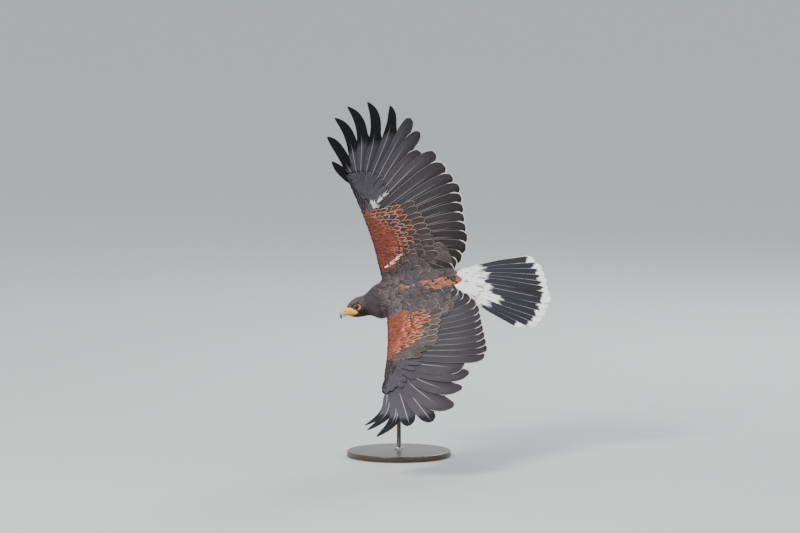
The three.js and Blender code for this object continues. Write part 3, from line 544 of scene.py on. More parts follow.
BLUNT_TIP = (
    (0.94, 0.74), (0.8, 0.88, 0.64), (0.9, 0.82, 0.52), (0.96, 0.66, 0.36), (0.99, 0.46, 0.16),
    (1, 0.28, 0),
)


# Pieces

MATERIALS = {}


def keep_values(mesh, key, values):
    """Stores a colour, a vector or a number at each point of the mesh."""
    values = np.asarray(values, np.float32)
    kind, field = "FLOAT", "value"
    if key in ("tint", "fringe"):
        kind, field = "FLOAT_COLOR", "color"
        values = np.concatenate([values, np.ones((len(values), 1), np.float32)], 1)
    elif key == "lay":
        kind, field = "FLOAT_VECTOR", "vector"
    mesh.attributes.new(key, kind, "POINT").data.foreach_set(field, values.ravel())


def evened(piece, voxel, rounds):
    """The piece's mesh after an even remesh, which joins its parts, and smoothing."""
    join = piece.modifiers.new("join", "REMESH")
    join.mode, join.voxel_size = "VOXEL", voxel
    piece.modifiers.new("smooth", "SMOOTH").iterations = rounds
    bpy.context.view_layer.update()
    mesh = bpy.data.meshes.new_from_object(piece.evaluated_get(bpy.context.evaluated_depsgraph_get()))
    piece.modifiers.clear()
    piece.data = mesh
    return mesh


def link(name, data):
    thing = bpy.data.objects.new(name, data)
    bpy.context.scene.collection.objects.link(thing)
    return thing


def add_piece(name, mesh, material, slot, replaces=(), even=None, smooth=True):
    """Puts a mesh in the scene as a piece on the one body, in place of the nodes that it replaces."""
    piece = link(name, mesh)
    if even:
        mesh = evened(piece, *even)
    mesh.materials.clear()
    mesh.materials.append(MATERIALS[material])
    mesh.polygons.foreach_set("use_smooth", np.full(len(mesh.polygons), smooth))
    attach(piece, "root")
    if replaces:
        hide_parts(*replaces)
    return piece


def loft(rings, closed=False):
    """Points and faces over rings of one count, with a fan at each end, or joined from last to first."""
    rings = np.asarray(rings)
    rows, count = rings.shape[:2]
    points, faces = rings.reshape(-1, 3), []
    for i in range(rows if closed else rows - 1):
        here, there = i * count, (i + 1) % rows * count
        faces += [(here + k, there + k, there + m, here + m) for k, m in enumerate([*range(1, count), 0])]
    if closed:
        return points, faces
    last = (rows - 1) * count
    for k, m in enumerate([*range(1, count), 0]):
        faces += [(rows * count, k, m), (rows * count + 1, last + m, last + k)]
    return np.concatenate([points, [rings[0].mean(0), rings[-1].mean(0)]]), faces


def solid(name, shape, material, slot, replaces=(), smooth=True, **values):
    """A piece from points in the shared frame and faces, with any named value at each point."""
    points, faces = shape
    mesh = bpy.data.meshes.new(name)
    mesh.from_pydata([tuple(p) for p in points], [], faces)
    for key, value in values.items():
        keep_values(mesh, key, value)
    return add_piece(name, mesh, material, slot, replaces, smooth=smooth)


def on_head(name, rings, material, slot, replaces=(), closed=False, **values):
    """A piece lofted over rings in the head's frame."""
    points, faces = loft(from_head(np.array(rings)), closed)
    return solid(name, (to_frame(points), faces), material, slot, replaces, **values)


class Plumage:
    """Feathers gathered into one piece, each a thin closed blade with its own colours."""

    def __init__(self, name, slot, replaces=()):
        self.name, self.slot, self.replaces = name, slot, replaces
        self.values, self.loops, self.sizes, self.count = {}, [], [], 0

    def keep(self, key, top, under):
        wide = top.shape[2] if top.ndim > 2 else 1
        both = np.concatenate([top.reshape(-1, wide), under.reshape(-1, wide)])
        self.values.setdefault(key, []).append(both)

    def add(self, top, under, **values):
        """Adds one blade from the grids of its upper and its coarser under side."""
        (rows, cols), low = top.shape[:2], under.shape[1]
        first, left = rows * cols, np.arange(rows - 1)
        a = (left[:, None] * cols + np.arange(cols - 1)).ravel()
        b = (first + left[:, None] * low + np.arange(low - 1)).ravel()
        c, d = left * cols, first + left * low
        quads = np.concatenate([np.stack(corners, 1) for corners in (
            (a, a + 1, a + cols + 1, a + cols),
            (b, b + low, b + low + 1, b + 1),
            (c, c + cols, d + low, d),
            (c + cols - 1, d + low - 1, d + 2 * low - 1, c + 2 * cols - 1),
        )])
        self.loops.append(quads.ravel() + self.count)
        self.sizes.append(np.full(len(quads), 4))
        for row, step in ((0, 1), (rows - 1, -1)):
            over, below = row * cols + np.arange(cols)[::-1], first + row * low + np.arange(low)
            ring = np.concatenate([over, below])[::step]
            self.loops.append(ring + self.count)
            self.sizes.append(np.array([len(ring)]))
        self.keep("points", top, under)
        pick = np.linspace(0, cols - 1, low).round().astype(int)
        for key, value in values.items():
            self.keep(key, value, value[:, pick])
        self.count += rows * (cols + low)

    def make(self):
        """The finished piece, with its unwrap and the values of its points."""
        places = np.concatenate(self.values.pop("points"))
        data = {key: np.concatenate(rows).astype(np.float32) for key, rows in self.values.items()}
        loops, sizes = np.concatenate(self.loops), np.concatenate(self.sizes)
        mesh = bpy.data.meshes.new(self.name)
        mesh.vertices.add(len(places))
        mesh.vertices.foreach_set("co", to_frame(places).astype(np.float32).ravel())
        mesh.loops.add(len(loops))
        mesh.loops.foreach_set("vertex_index", loops.astype(np.int32))
        mesh.polygons.add(len(sizes))
        mesh.polygons.foreach_set("loop_start", np.concatenate([[0], np.cumsum(sizes)[:-1]]).astype(np.int32))
        mesh.update(calc_edges=True)
        mesh.uv_layers.new(name="OFBake").data.foreach_set("uv", data.pop("uv")[loops].ravel())
        for key, values in data.items():
            keep_values(mesh, key, values)
        return add_piece(self.name, mesh, "feather", self.slot, self.replaces)


def grow(
    piece, surface, length, widths, shape, tint, uv, columns=SMALL, rows=7, even=0.85, thick=0.35,
    ridge=0.0, arch=0.0, ragged=0.06, fringe=None, fringe_width=1.0, fringe_from=0.5, side_fringe=0.3,
    shade=0.25, mottle=0.0, quill=0.0, quill_fade=(0.5, 0.85),
):
    """Grows one feather on a surface, which takes distances along and aside and a height over it.

    widths are the greatest ones ahead of and behind the shaft. tint is a colour, or takes shares along and
    aside. ridge is the height of the shaft, arch that of the blade, and ragged how far barbs part. fringe is
    the colour of the edge, shade darkens the root, mottle adds soft bars, and quill shows the pale shaft."""
    u, v = columns[None, :], np.linspace(0, 1, rows) ** even
    blades = shape(v)
    thin = blades[0] + blades[1] < 2 * THINNEST
    lead, trail = [np.where(thin, np.maximum(blade, THINNEST), blade) for blade in blades]
    lead, trail = [blade * (1 - ragged * RNG.random(rows) ** 3) for blade in (lead, trail)]
    right, left = widths[0] * lead[:, None], -widths[1] * trail[:, None]
    aside = np.where(u > 0, u * right, -u * left)
    aside = np.where((trail < THINNEST)[:, None], left + (u + 1) / 2 * (right - left), aside)
    share = np.broadcast_to(v[:, None], aside.shape)
    along = share * length
    curve = arch * (1 - u ** 2) * (1 - share ** 4)
    top = surface(along, aside, curve + ridge * np.exp(-np.abs(u) * 12) * (1 - 0.8 * share))
    low = np.linspace(0, len(columns) - 1, 3).round().astype(int)
    under = surface(along[:, low], aside[:, low], (curve - thick)[:, low])
    edge = np.where(u > 0, right - aside, aside - left)
    toward_tip = smoothstep(share, fringe_from, 0.93)
    rim = np.minimum(edge / lerp(0.55, 1.0, toward_tip), (1 - share) * length + 0.05) / fringe_width
    spread = tint(share, u * np.ones_like(share)) if callable(tint) else tint
    # shade is painted shade: each feather is painted darker toward its root, where the feathers before it lie
    # over it.
    spread = np.broadcast_to(spread, aside.shape + (3,)) * (1 - shade * (1 - share) ** 1.5)[..., None]
    if mottle:
        wave = np.sin(share * draw(5, 9) + chance() * 6 + 2.2 * u) * draw(0.2, 1)
        spread = spread * (1 + 0.3 * mottle * wave)[..., None]
    fringe = blend(spread * 1.15, spread if fringe is None else fringe, lerp(side_fringe, 1.0, toward_tip))
    lay_here = np.stack([aside, along, np.full_like(aside, chance() * 40)], axis=-1)
    place = np.array(uv[:2]) + np.stack([(u / 2 + 0.5) * np.ones_like(share) * uv[2], share * uv[3]], axis=-1)
    shown = quill * (1 - smoothstep(share, *quill_fade))
    piece.add(top, under, uv=place, tint=spread, fringe=fringe, rim=rim, lay=lay_here, quill=shown)


def flat_feather(piece, place, root, tip, height, slopes, widths, shape, tint, uv, bow=0.0, **look):
    """A feather of the flat wing or tail, tilted so that its leading side lies over the next one."""
    root, tip = np.array(root, float), np.array(tip, float)
    length = np.linalg.norm(tip - root)
    ahead = (tip - root) / length

    def surface(along, aside, high):
        share = along / length
        bend = BOW_PEAK * bow * length * share ** 2 * (1 - share)
        x, y = on_plane(root, ahead, along, aside + bend)
        return place(x, y, lerp(*height, share) + LAYER / lerp(*slopes, share) * aside + high)

    grow(piece, surface, length, widths, shape, tint, uv, **look)


def strip_uv(index, count):
    """A long strip of the unwrap for one flight feather."""
    return [0.02 + 0.96 * index / count, 0.02, 0.8 / count, 0.96]


def patch_uv(across, along):
    """A small patch for one body feather, at its root's place on the unwrap of the skin."""
    return [UNWRAP_FROM + UNWRAP_WIDE * across, UNWRAP_FROM + UNWRAP_WIDE * along, PATCH, PATCH]


# Flight and tail feathers

def primaries(name, side):
    """The ten primaries from the innermost out; the outer six are notched into fingers."""
    piece = Plumage(f"primaries_{name}", "plumage_black", [f"wing_{name}_primaries"])
    place = wing_space(side)
    # Painted light: the right primaries are painted at 0.93 of their colour and the left ones darker, at
    # 0.84.
    light = 0.93 if name == "right" else 0.84
    lead, trail = side["inner_vane"]
    for number in range(1, 11):
        outward = (number - 1) / 9
        slotted = number >= 5
        x = lerp(WRIST[0] + 5, HAND_END[0] - 3, outward)
        root = np.array([x, hand_rear(x) - 3.2])
        tip = WRIST + side["reach"][number - 1] * heading(side["fan"][number - 1]) + [0, 6]
        finger = FINGERS[0] if number == 5 else lerp(*FINGERS[1:], (number - 6) / 4)
        notch = max(1 - finger / np.linalg.norm(tip - root), 0.42)
        shape, dark_from = finger_vane(notch, SHARP_TIP), notch - 0.1
        if name == "left":
            shape, dark_from = finger_vane(notch, BLUNT_TIP), 0.8 if number < 8 else 0.66
        elif number == 10:
            shape, dark_from = front_vane, 0.05
        elif number == 9:
            dark_from = 0.28
        look = {
            "fringe": INK, "fringe_width": 0.6, "quill_fade": (dark_from, dark_from + 0.2),
            "shape": shape, "slopes": (8.2, 36),
        }
        dark_over, deepest = 0.12, 1
        if not slotted:
            dark_from, dark_over, deepest = 0.74, 0.25, 0.75
            look = {
                "fringe": GREY_TIP, "fringe_width": 2.2, "quill_fade": (0.55, 0.8),
                "shape": broad_vane, "slopes": (8.2, 27),
            }

        def tint(share, aside):
            inner = blend(GREATER * 0.95, SLATE, np.full_like(share, lerp(0.5, 1.0, outward))) * light
            # Painted light and shade: the leading vane is painted lighter and the trailing vane, which lies
            # under the next feather, darker.
            inner = inner * (1.2 - 0.55 * smoothstep(-aside, -0.2, 0.8))[..., None]
            dark = smoothstep(share + 0.03 * np.abs(aside), dark_from, dark_from + dark_over)
            return blend(inner, INK if slotted else DARK, dark * deepest)

        flat_feather(
            piece, place, root, tip, (0, 0), tint=tint, uv=strip_uv(number - 1, 10),
            bow=side["bow"][number - 1], widths=(lerp(lead, 10, outward), lerp(trail, 24, outward ** 1.5)),
            rows=60, ridge=0.7, shade=0.1, side_fringe=0.06, fringe_from=0.85, quill=side["quill"],
            **FLIGHT_BLADE, **look,
        )
    return piece.make()


def secondaries(name, side):
    """The secondaries from the wrist in, and the shorter tertials over their inner end."""
    piece = Plumage(f"secondaries_{name}", "plumage_dark", [f"wing_{name}_secondaries"])
    place = wing_space(side)
    right = name == "right"
    for i in range(SECONDARIES + TERTIALS):
        inward, more = min(i / (SECONDARIES - 1), 1), max(i - SECONDARIES + 1, 0)
        x = 60 - 8 * more if more else lerp(WRIST[0] - 12, 60, inward)
        tip_x = lerp(side["secondary_out"], side["secondary_in"], inward ** 0.95)
        tip_y = TRAILING_EDGE + 30 * smoothstep(tip_x, 185, 262) + 30 * (1 - smoothstep(tip_x, -15, 60))
        tip = np.array([tip_x, tip_y])
        if more:
            tip += [-15 * more, 4 + 11 * more]
        base = jitter(blend(BROWN, SLATE, lerp(0.3, 0.05, inward) if right else 0.4) * 0.85, 0.14)

        def tint(along, aside):
            tipped = blend(base, base * 0.66, smoothstep(along, 0.6, 0.97))
            # Painted light and shade: the leading vane is painted lighter and the trailing vane, which lies
            # under the next feather, darker.
            return tipped * (1.2 - 0.68 * smoothstep(-aside, -0.2, 0.75))[..., None]

        flat_feather(
            piece, place, [x, rear_line(x) - 3.2], tip, (0.4, 0.4 + 1.2 * more), (11.2, 27),
            (18 if i else 24, 24), broad_vane if i else wrist_vane, tint,
            strip_uv(i, SECONDARIES + TERTIALS), 0.015, rows=48, ridge=0.6, shade=0.1,
            fringe=GREY_TIP * (1.35 if right else 1.0), fringe_width=draw(2.0, 3.2),
            side_fringe=0.12, fringe_from=0.86, quill=0.5, **FLIGHT_BLADE | {"even": 0.9},
        )
    return piece.make()


def tail_feathers():
    """The twelve tail feathers, black with a white root and tip."""
    piece = Plumage("tail_feathers", "plumage_black", ["tail"])
    for sign, row in ((-1, TAIL_RIGHT), (1, TAIL_LEFT)):
        place = tail_space(sign)
        for i, (long, angle) in enumerate(row):
            over = 1.3 * LAYER if i == 0 and sign > 0 else 0
            inner = 17 if i > 0 else (15.3 if sign > 0 else 10.2)
            outer = i == len(row) - 1
            start = draw(0.2, 0.28) if sign < 0 else draw(0.28, 0.43)

            def tint(along, aside):
                wavy = 0.05 * np.sin(9 * aside + 60 * start) * np.sin(4 * aside + 90 * start)
                white_root = 1 - smoothstep(along - 0.05 * aside ** 2 + wavy, start, start + 0.04)
                white_tip = smoothstep(along - 0.028 * np.abs(aside) ** 1.5 + 0.4 * wavy, 0.885, 0.895)
                dark = blend(TAIL_DARK, TAIL_DARK * 0.7, smoothstep(along, 0.4, 0.85))
                # Painted light and shade: the leading vane is painted lighter and the trailing vane, which
                # lies under the next feather, darker.
                dark = dark * (1.15 - 0.35 * smoothstep(-aside, 0, 0.7))[..., None]
                return blend(dark, WHITE, np.maximum(white_root, white_tip))

            flat_feather(
                piece, place, (5, 3 + 3 * i), long * heading(angle), (over, over), (5, 15),
                (15.5, inner), tail_vane, tint, strip_uv(i + (6 if sign > 0 else 0), 12),
                rows=72, ridge=0.6, shade=0.0,
                fringe=WHITE * (0.8 if outer else 0.6), fringe_width=1.8 if outer else 0.7,
                side_fringe=draw(0.1, 0.8), quill=0.4, quill_fade=(0.75, 0.88),
                **FLIGHT_BLADE | {"even": 1.0},
            )
    return piece.make()


# Coverts of the wings

def core_height(x, y, depth):
    """Heights of the fleshy wing's upper and under face, brought in by some depth."""
    rear, front = core_edges(x)
    s = np.clip((y - rear) / (front - rear), 0, 1)
    arm = lerp(*CORE_FULL[:2], np.clip(x / WRIST[0], 0, 1))
    hand = lerp(*CORE_FULL[1:], np.clip(hand_share(x), 0, 1))
    bulge = np.sin(math.pi * np.minimum(1, s * 0.92 + 0.08)) ** 0.75
    full = np.where(x < WRIST[0], arm, hand)
    over, under = CORE_REAR
    return (1 - s) * over + full * bulge - depth, depth - ((1 - s) * under + 0.72 * full * bulge)


def wing_core(side, depth):
    """The fleshy wing from shoulder to fingers, as rings of points."""
    place = wing_space(side)
    rings = []
    for x in [*np.linspace(-26, WRIST[0], 22), *np.linspace(WRIST[0] + 8, HAND_END[0], 9)]:
        rear, front = core_edges(x)
        y = lerp(rear + depth, front - depth, np.linspace(0, 1, 9))
        over, under = [place(x, y, height) for height in core_height(x, y, depth)]
        rings.append(np.concatenate([over, under[::-1]]))
    return np.array(rings)


def deck(x, y, over=True):
    """Height of what the coverts lie on: the fleshy wing, then the flight feathers behind it."""
    rear = core_edges(x)[0]
    fleshy = core_height(x, np.maximum(y, rear), 1.2)[0 if over else 1]
    behind = (rear - y) / (85 if over else 70)
    return np.where(y > rear, fleshy, lerp(*((5.4, 1.6) if over else (-4.4, -1.2)), np.clip(behind, 0, 1)))


def lay(piece, place, root, angle, long, half, tint, shape=tuft_vane, over=True, sag=1.3, lift=1.5, **look):
    """Lays one covert on the wing, its root under the ones before it and its tip over the ones behind."""
    ahead = heading(angle)

    def surface(along, aside, high):
        x, y = on_plane(root, ahead, along, aside)
        rise = lerp(-sag, lift, np.clip(along / long, 0, 1)) + 0.035 * aside + high
        return place(x, y, deck(x, y, over) + (rise if over else -rise))

    across = np.clip(root[0] / 300 + 0.06, 0, 1)
    along = np.clip(0.75 + 0.002 * root[1], 0.52, 1) if over else np.clip(0.25 - 0.002 * root[1], 0, 0.48)
    grow(piece, surface, long, (half, half), shape, tint, patch_uv(across, along), **look)


def bare_from(side, y):
    """How far out the wing's own coverts begin, beside the shoulder feathers."""
    return float(np.interp(y, *side["shoulder_to"]))


def covert_look(side, x, back):
    """Markings of a covert by how far back its tip is: brown, chestnut-edged or chestnut."""
    edged, solid = (float(np.interp(x, *side[key])) for key in ("edged_to", "solid_to"))
    # light is painted light: each wing's coverts are painted brighter by that wing's own amount, for the
    # light that falls on it.
    light, left = side["painted_light"], side["sign"] > 0
    look = COVERT_BLADE | {"arch": 0.45, "shape": covert_vane}
    if back > edged + draw(-5, 5):
        warm = 0.75 * chance() * (1 - smoothstep(back, edged, edged + 26))
        edge = blend(FINE_EDGE, RUFOUS_PALE * 0.8, warm) * draw(0.6, 1.1)
        if left:
            edge = edge * (1 - 0.55 * smoothstep(x, 100, 140))
        return look | {
            "tint": jitter(GREATER * 0.9 * light, 0.2), "fringe": edge * light,
            "fringe_width": draw(0.9, 1.4), "side_fringe": draw(0.05, 0.45),
            "shade": 0.75, "quill": 0.15, "mottle": 0.4, "ragged": 0.08,
        }
    if back > solid + draw(-6, 6):
        deep = smoothstep(back, solid - 4, solid + 38)
        dark = np.clip(deep * draw(0.5, 1.6), 0, 1)
        if left:
            centre = blend(RUFOUS * 1.25, BROWN * 0.9, dark * chance() ** 0.5) * light
            pale = blend(FLAME, RUFOUS_PALE * 1.1, 0.6 * chance())
        else:
            centre, pale = blend(RUFOUS * 0.85, GREATER * 0.8, dark) * light, RUFOUS_PALE * 1.25
        edge = blend(RUFOUS * 2.0, pale, np.clip(deep * 0.7 + draw(-0.1, 0.5), 0, 1))
        # On the right wing the edges are painted brighter still, as painted light.
        edge = blend(edge, BUFF * 1.6, 0.3 * chance()) * (light if left else 1.12 * light)
        return look | {
            "tint": centre, "fringe": edge, "fringe_width": draw(1.0, 2.6), "side_fringe": draw(0.0, 0.6),
            "fringe_from": draw(0.2, 0.55), "shade": 0.45, "ragged": 0.25, "mottle": 0.7, "shape": leaf_vane,
        }
    tint = blend(jitter(RUFOUS * 1.05 * light, 0.18), BROWN, 0.3 * chance() ** 2)
    return look | {
        "tint": tint, "fringe": blend(RUFOUS * 1.8, RUFOUS_PALE * 0.8, chance() * 0.6) * light, "mottle": 0.8,
        "fringe_width": draw(0.6, 1.2), "side_fringe": 0.6, "shade": 0.65, "ragged": 0.2,
    }


def arm_rows(piece, place, side):
    """Coverts of the arm, from the greater ones forward to the small ones of its front."""
    for reach, long, half, count in ARM_ROWS:
        loose = 1.2 if reach > 0.6 else 3.0
        for i in range(count):
            share = (i + draw(-0.05, 0.05) * loose) / (count - 1)
            x = lerp(162, 5, share)
            back = np.interp(x, *side["covert_reach"]) * reach
            tip_y = float(rear_line(np.clip(x, 0, 158))) - back + loose * draw(-1.6, 1.6)
            angle = lerp(-66, -94, share) + loose * draw(-3, 3)
            ahead, own = heading(angle), long * draw(0.9, 1.1)
            root = np.array([x - ahead[0] * own * 0.6, tip_y - ahead[1] * own])
            if root[1] > core_edges(root[0])[1] - 3 or x < bare_from(side, tip_y):
                continue
            look = covert_look(side, x, back)
            slim = 0.74 if side["sign"] > 0 and look["shape"] is leaf_vane else 1.0
            lay(piece, place, root, angle, own, half * slim * draw(0.9, 1.12), **look)


def lesser_rows(piece, place, side):
    """The small chestnut feathers of the front of the arm, down to the leading edge."""
    # light is painted light: these small coverts are painted brighter by the wing's own amount, for the light
    # that falls on it.
    light = side["painted_light"]
    near_edges, far_edges = (RUFOUS_PALE, BUFF), (RUFOUS * 1.5, RUFOUS_PALE * 0.7)
    if side["sign"] > 0:
        near_edges, far_edges = (FLAME * 0.7, RUFOUS_PALE * 0.8), (RUFOUS * 1.5, FLAME * 0.55)
    for row in range(16):
        for i in range(43):
            x = -12 + (i + 0.5 * (row % 2)) * 5.2 + draw(-1.4, 1.4)
            if x > WRIST[0] + 2:
                continue
            front, rear = float(core_edges(x)[1]), float(rear_line(min(x, 160)))
            y = front - 1.5 - row * 5.6 + draw(-1.2, 1.2)
            root_side = x < bare_from(side, y)
            if y < (rear + 8 if x < WRIST[0] else 0) or (root_side and y < 0):
                continue
            depth = np.clip((front - y) / 60, 0, 1)
            angle = lerp(-90, -66, x / WRIST[0]) + draw(-8, 8)
            near = y - rear < float(np.interp(x, *side["edged_front"])) + draw(-9, 9)
            tint = jitter(RUFOUS * draw(0.75, 1.2) * light, 0.12)
            tint = blend(tint, BROWN, (0.7 if near else 0.4) * chance() ** (1 if near else 3))
            edge = blend(*(near_edges if near else far_edges), (0.35 if near else 0.7) * chance())
            if root_side:
                tint, edge, near = jitter(MANTLE * 0.8, 0.2), MANTLE * 1.8, False
            lay(
                piece, place, (x, y), angle, lerp(11, 22, depth), lerp(3.8, 6.4, depth), tint,
                ragged=0.2, arch=0.4, mottle=0.8, shade=0.75, fringe=edge * light,
                sag=0.7, lift=lerp(0.5, 1.3, depth), fringe_width=draw(0.7, 1.5) if near else draw(0.4, 1.0),
                side_fringe=draw(0.3, 0.8) if near else 0.4, **TUFT_BLADE,
            )


def hand_rows(piece, place, side, over):
    """Coverts of the hand: one long one over each primary, then shorter rows forward to its leading edge."""
    left, colour = side["sign"] > 0, blend(SLATE, GREATER, 0.25)
    # Painted light: the left hand's upper coverts are painted darker than the right's, and the under ones
    # darker still, as painted shade on the under side.
    light = (0.92 if left else 1.0) if over else 0.8
    for reach, long, half, count in HAND_ROWS["over" if over else "under"]:
        first = reach == 1
        for i in range(count):
            share = i / (count - 1) + (0 if first else draw(-0.03, 0.03))
            number = float(np.clip(lerp(1.3, 10.0, share), 1, 10))
            low = min(int(number), 9)
            angle = lerp(side["fan"][low - 1], side["fan"][low], number - low) + draw(-1, 1)
            x = lerp(WRIST[0] + 2, HAND_END[0] - 6, (number - 1) / 9)
            far = np.interp(share, *HAND_COVER) * reach
            far *= draw(0.86, 1.12) if left else draw(0.97, 1.03)
            own = min(long, far + 18)
            root = np.array([x, float(hand_rear(x)) + 4]) + heading(angle) * (far - own)
            tint = blend(jitter(colour * light, 0.09), INK * 2, 0.85 * smoothstep(share, 0.86, 1.0))
            lay(
                piece, place, root, angle, own, half, tint, slim_vane, over,
                sag=1.6 if left else 1.3, lift=0.6 if left else 1.5,
                ragged=0.05, arch=0.3, shade=0.2, side_fringe=0.55, fringe_width=0.8, fringe_from=0.3,
                fringe=tint * (1.3 if left or not first else 2.2), quill=0.25 if first else 0.08,
                **COVERT_BLADE | {"rows": 16, "ridge": 0.2},
            )
    for _ in range(64 if over else 60):
        x = draw(WRIST[0] - 10, HAND_END[0] - 2)
        rear, front = core_edges(x)
        y = lerp(front - 1.2, rear + 8, chance() ** 1.6)
        angle = lerp(-46, 8, float(np.clip(hand_share(x), 0, 1))) + draw(-5, 5)
        tint = blend(jitter(colour, 0.08), INK * 2, 0.9 * smoothstep(y, front - 9, front - 4))
        lay(
            piece, place, (x, y), angle, draw(14, 22), draw(3.4, 4.8), tint, over=over, sag=0.6, lift=0.8,
            ragged=0.12, arch=0.25, fringe=tint * 1.12, fringe_width=0.7, shade=0.15, **TUFT_BLADE,
        )


def under_rows(piece, place):
    """Chestnut coverts under the arm, with greyer ones over the roots of the secondaries."""
    for far, long, half, count in UNDER_ROWS:
        for i in range(count):
            x = lerp(156, 14, i / (count - 1))
            angle = lerp(-68, -95, i / (count - 1)) + draw(-3, 3)
            ahead = heading(angle)
            root = (x - ahead[0] * long * 0.5, float(rear_line(x)) - far - ahead[1] * long)
            base = jitter(GREATER * 1.2 if far > 60 else RUFOUS * 0.9, 0.15)
            lay(
                piece, place, root, angle, long, half, base, covert_vane, False, ragged=0.08, arch=0.4,
                fringe=base * 1.7, fringe_width=1.4, shade=0.4, **COVERT_BLADE | {"rows": 12},
            )
    for row in range(13):
        for i in range(30):
            x = 4 + (i + 0.5 * (row % 2)) * 5.6 + draw(-1, 1)
            y = float(core_edges(x)[1]) - 2 - row * 6.4
            if x > WRIST[0] or y < float(rear_line(x)) + 4:
                continue
            tint = jitter(RUFOUS * 0.85, 0.2)
            lay(
                piece, place, (x, y), lerp(-90, -66, x / WRIST[0]) + draw(-8, 8), 15, 5, tint, over=False,
                sag=0.6, lift=0.9, rows=6, ragged=0.14, arch=0.3, fringe=RUFOUS_PALE * 0.7,
                fringe_width=0.9, shade=0.4, **TUFT_BLADE,
            )


def pale_tufts(piece, place, side):
    """Loose white plumes at the wrist and by the shoulder, each tuft a few narrow ragged blades."""
    for x, y, degrees, long, spread in side["tufts"]:
        for _ in range(9):
            aim = degrees + draw(-22, 22)
            spot = (x + draw(-0.6, 0.6) * spread, y + draw(-0.6, 0.6) * spread)
            tint = WHITE * draw(0.6, 0.95)
            lay(
                piece, place, spot, aim, long * draw(0.5, 1.1), draw(0.6, 1.25), tint,
                sag=-0.8, lift=draw(1.6, 3.0), rows=8, thick=0.2, ragged=0.5, arch=0.3, shade=0.15,
                fringe=WHITE * 0.9, fringe_width=0.6,
            )


def alula(piece, place):
    """The small quills of the thumb along the front of the wrist."""
    ahead = unit(HAND_END - WRIST)
    for i in range(4):
        root = WRIST + ahead * (6 - 2 * i) + [0, 9.4 - 3 * i]
        tip = root + ahead * (72 - 12 * i) + [0, -9 - i]
        high = 4.6 + 0.8 * i
        tint = jitter(DARK * 0.8, 0.1)
        flat_feather(
            piece, place, root, tip, (high, high + 0.4), (14, 22), (4.5, 8), covert_vane, tint,
            patch_uv(0.7, 0.9 - 0.02 * i), columns=MEDIUM, rows=18, thick=0.4, ridge=0.35, fringe=tint * 1.5,
            quill=0.2, shade=0.2,
        )


def wing_coverts(name, side):
    """The coverts of one wing in two pieces: of the arm, and of the hand with its thumb and tufts."""
    place = wing_space(side)
    arm = Plumage(f"coverts_arm_{name}", "plumage_rufous")
    arm_rows(arm, place, side)
    lesser_rows(arm, place, side)
    under_rows(arm, place)
    hand = Plumage(f"coverts_hand_{name}", "plumage_dark")
    hand_rows(hand, place, side, over=True)
    hand_rows(hand, place, side, over=False)
    alula(hand, place)
    pale_tufts(hand, place, side)
    return [arm.make(), hand.make()]


# Body feathers

def body_colour(along, angle):
    """Markings of the body: base colour, edge colour and edge width."""
    x = float(BODY.read(BODY.middle, along)[0])
    up = math.sin(angle)
    spine = math.degrees(((angle - math.pi / 2) + math.pi) % (2 * math.pi) - math.pi)
    base, edge, width = jitter(MANTLE, 0.15), MANTLE * 1.9, 1.0
    if along < HEAD_LONG:
        cheek = smoothstep(-up, -0.5, 0.25)
        base = jitter(blend(blend(MANTLE * 0.95, GREATER * 1.25, 0.6), DARK * 0.5, cheek), 0.25)
        edge = base * draw(1.2, 3.0)
    elif along < TRUNK_FROM:
        base = jitter(blend(MANTLE * 0.56, DARK * 0.85, smoothstep(-up, -0.4, 0.4)), 0.25)
        edge = base * draw(1.2, 3.4)
    elif up < -0.2:
        base, edge = jitter(DARK * 1.2, 0.15), DARK * 2.2
    if along > TRUNK_FROM and up > -0.2:
        pale_edged = chance() < 0.14
        base = jitter(blend(MANTLE, GREATER * 1.2, 0.5 * chance()), 0.22)
        edge = blend(base * 1.5, FINE_EDGE, 0.8 * chance() ** 1.5)
        if pale_edged:
            edge, width = blend(RUFOUS_PALE, FINE_EDGE, chance()), 1.3
    rump = abs(spine - 3) < lerp(8, 44, smoothstep(-x, 50, 100)) + draw(-9, 6) and x < -62
    streak = abs(spine - 6) < 12 and -52 < x < -12
    if (rump and chance() < smoothstep(-x, 50, 85)) or (streak and chance() < 0.5):
        base = blend(jitter(RUMP * 1.15, 0.3), GREATER, 0.7 * chance() ** 2)
        edge, width = blend(RUMP * 1.9, BUFF * 1.3, 0.4 * chance()), draw(0.8, 1.8)
        if chance() < 0.08 + 0.5 * smoothstep(-x, 118, 150):
            base, edge, width = jitter(DARK, 0.2), RUMP * 1.2, 1.3
    if x < -96 and up < -0.3:
        base, edge, width = jitter(WHITE * 0.9, 0.06), WHITE, 1.0
    return base, edge, width


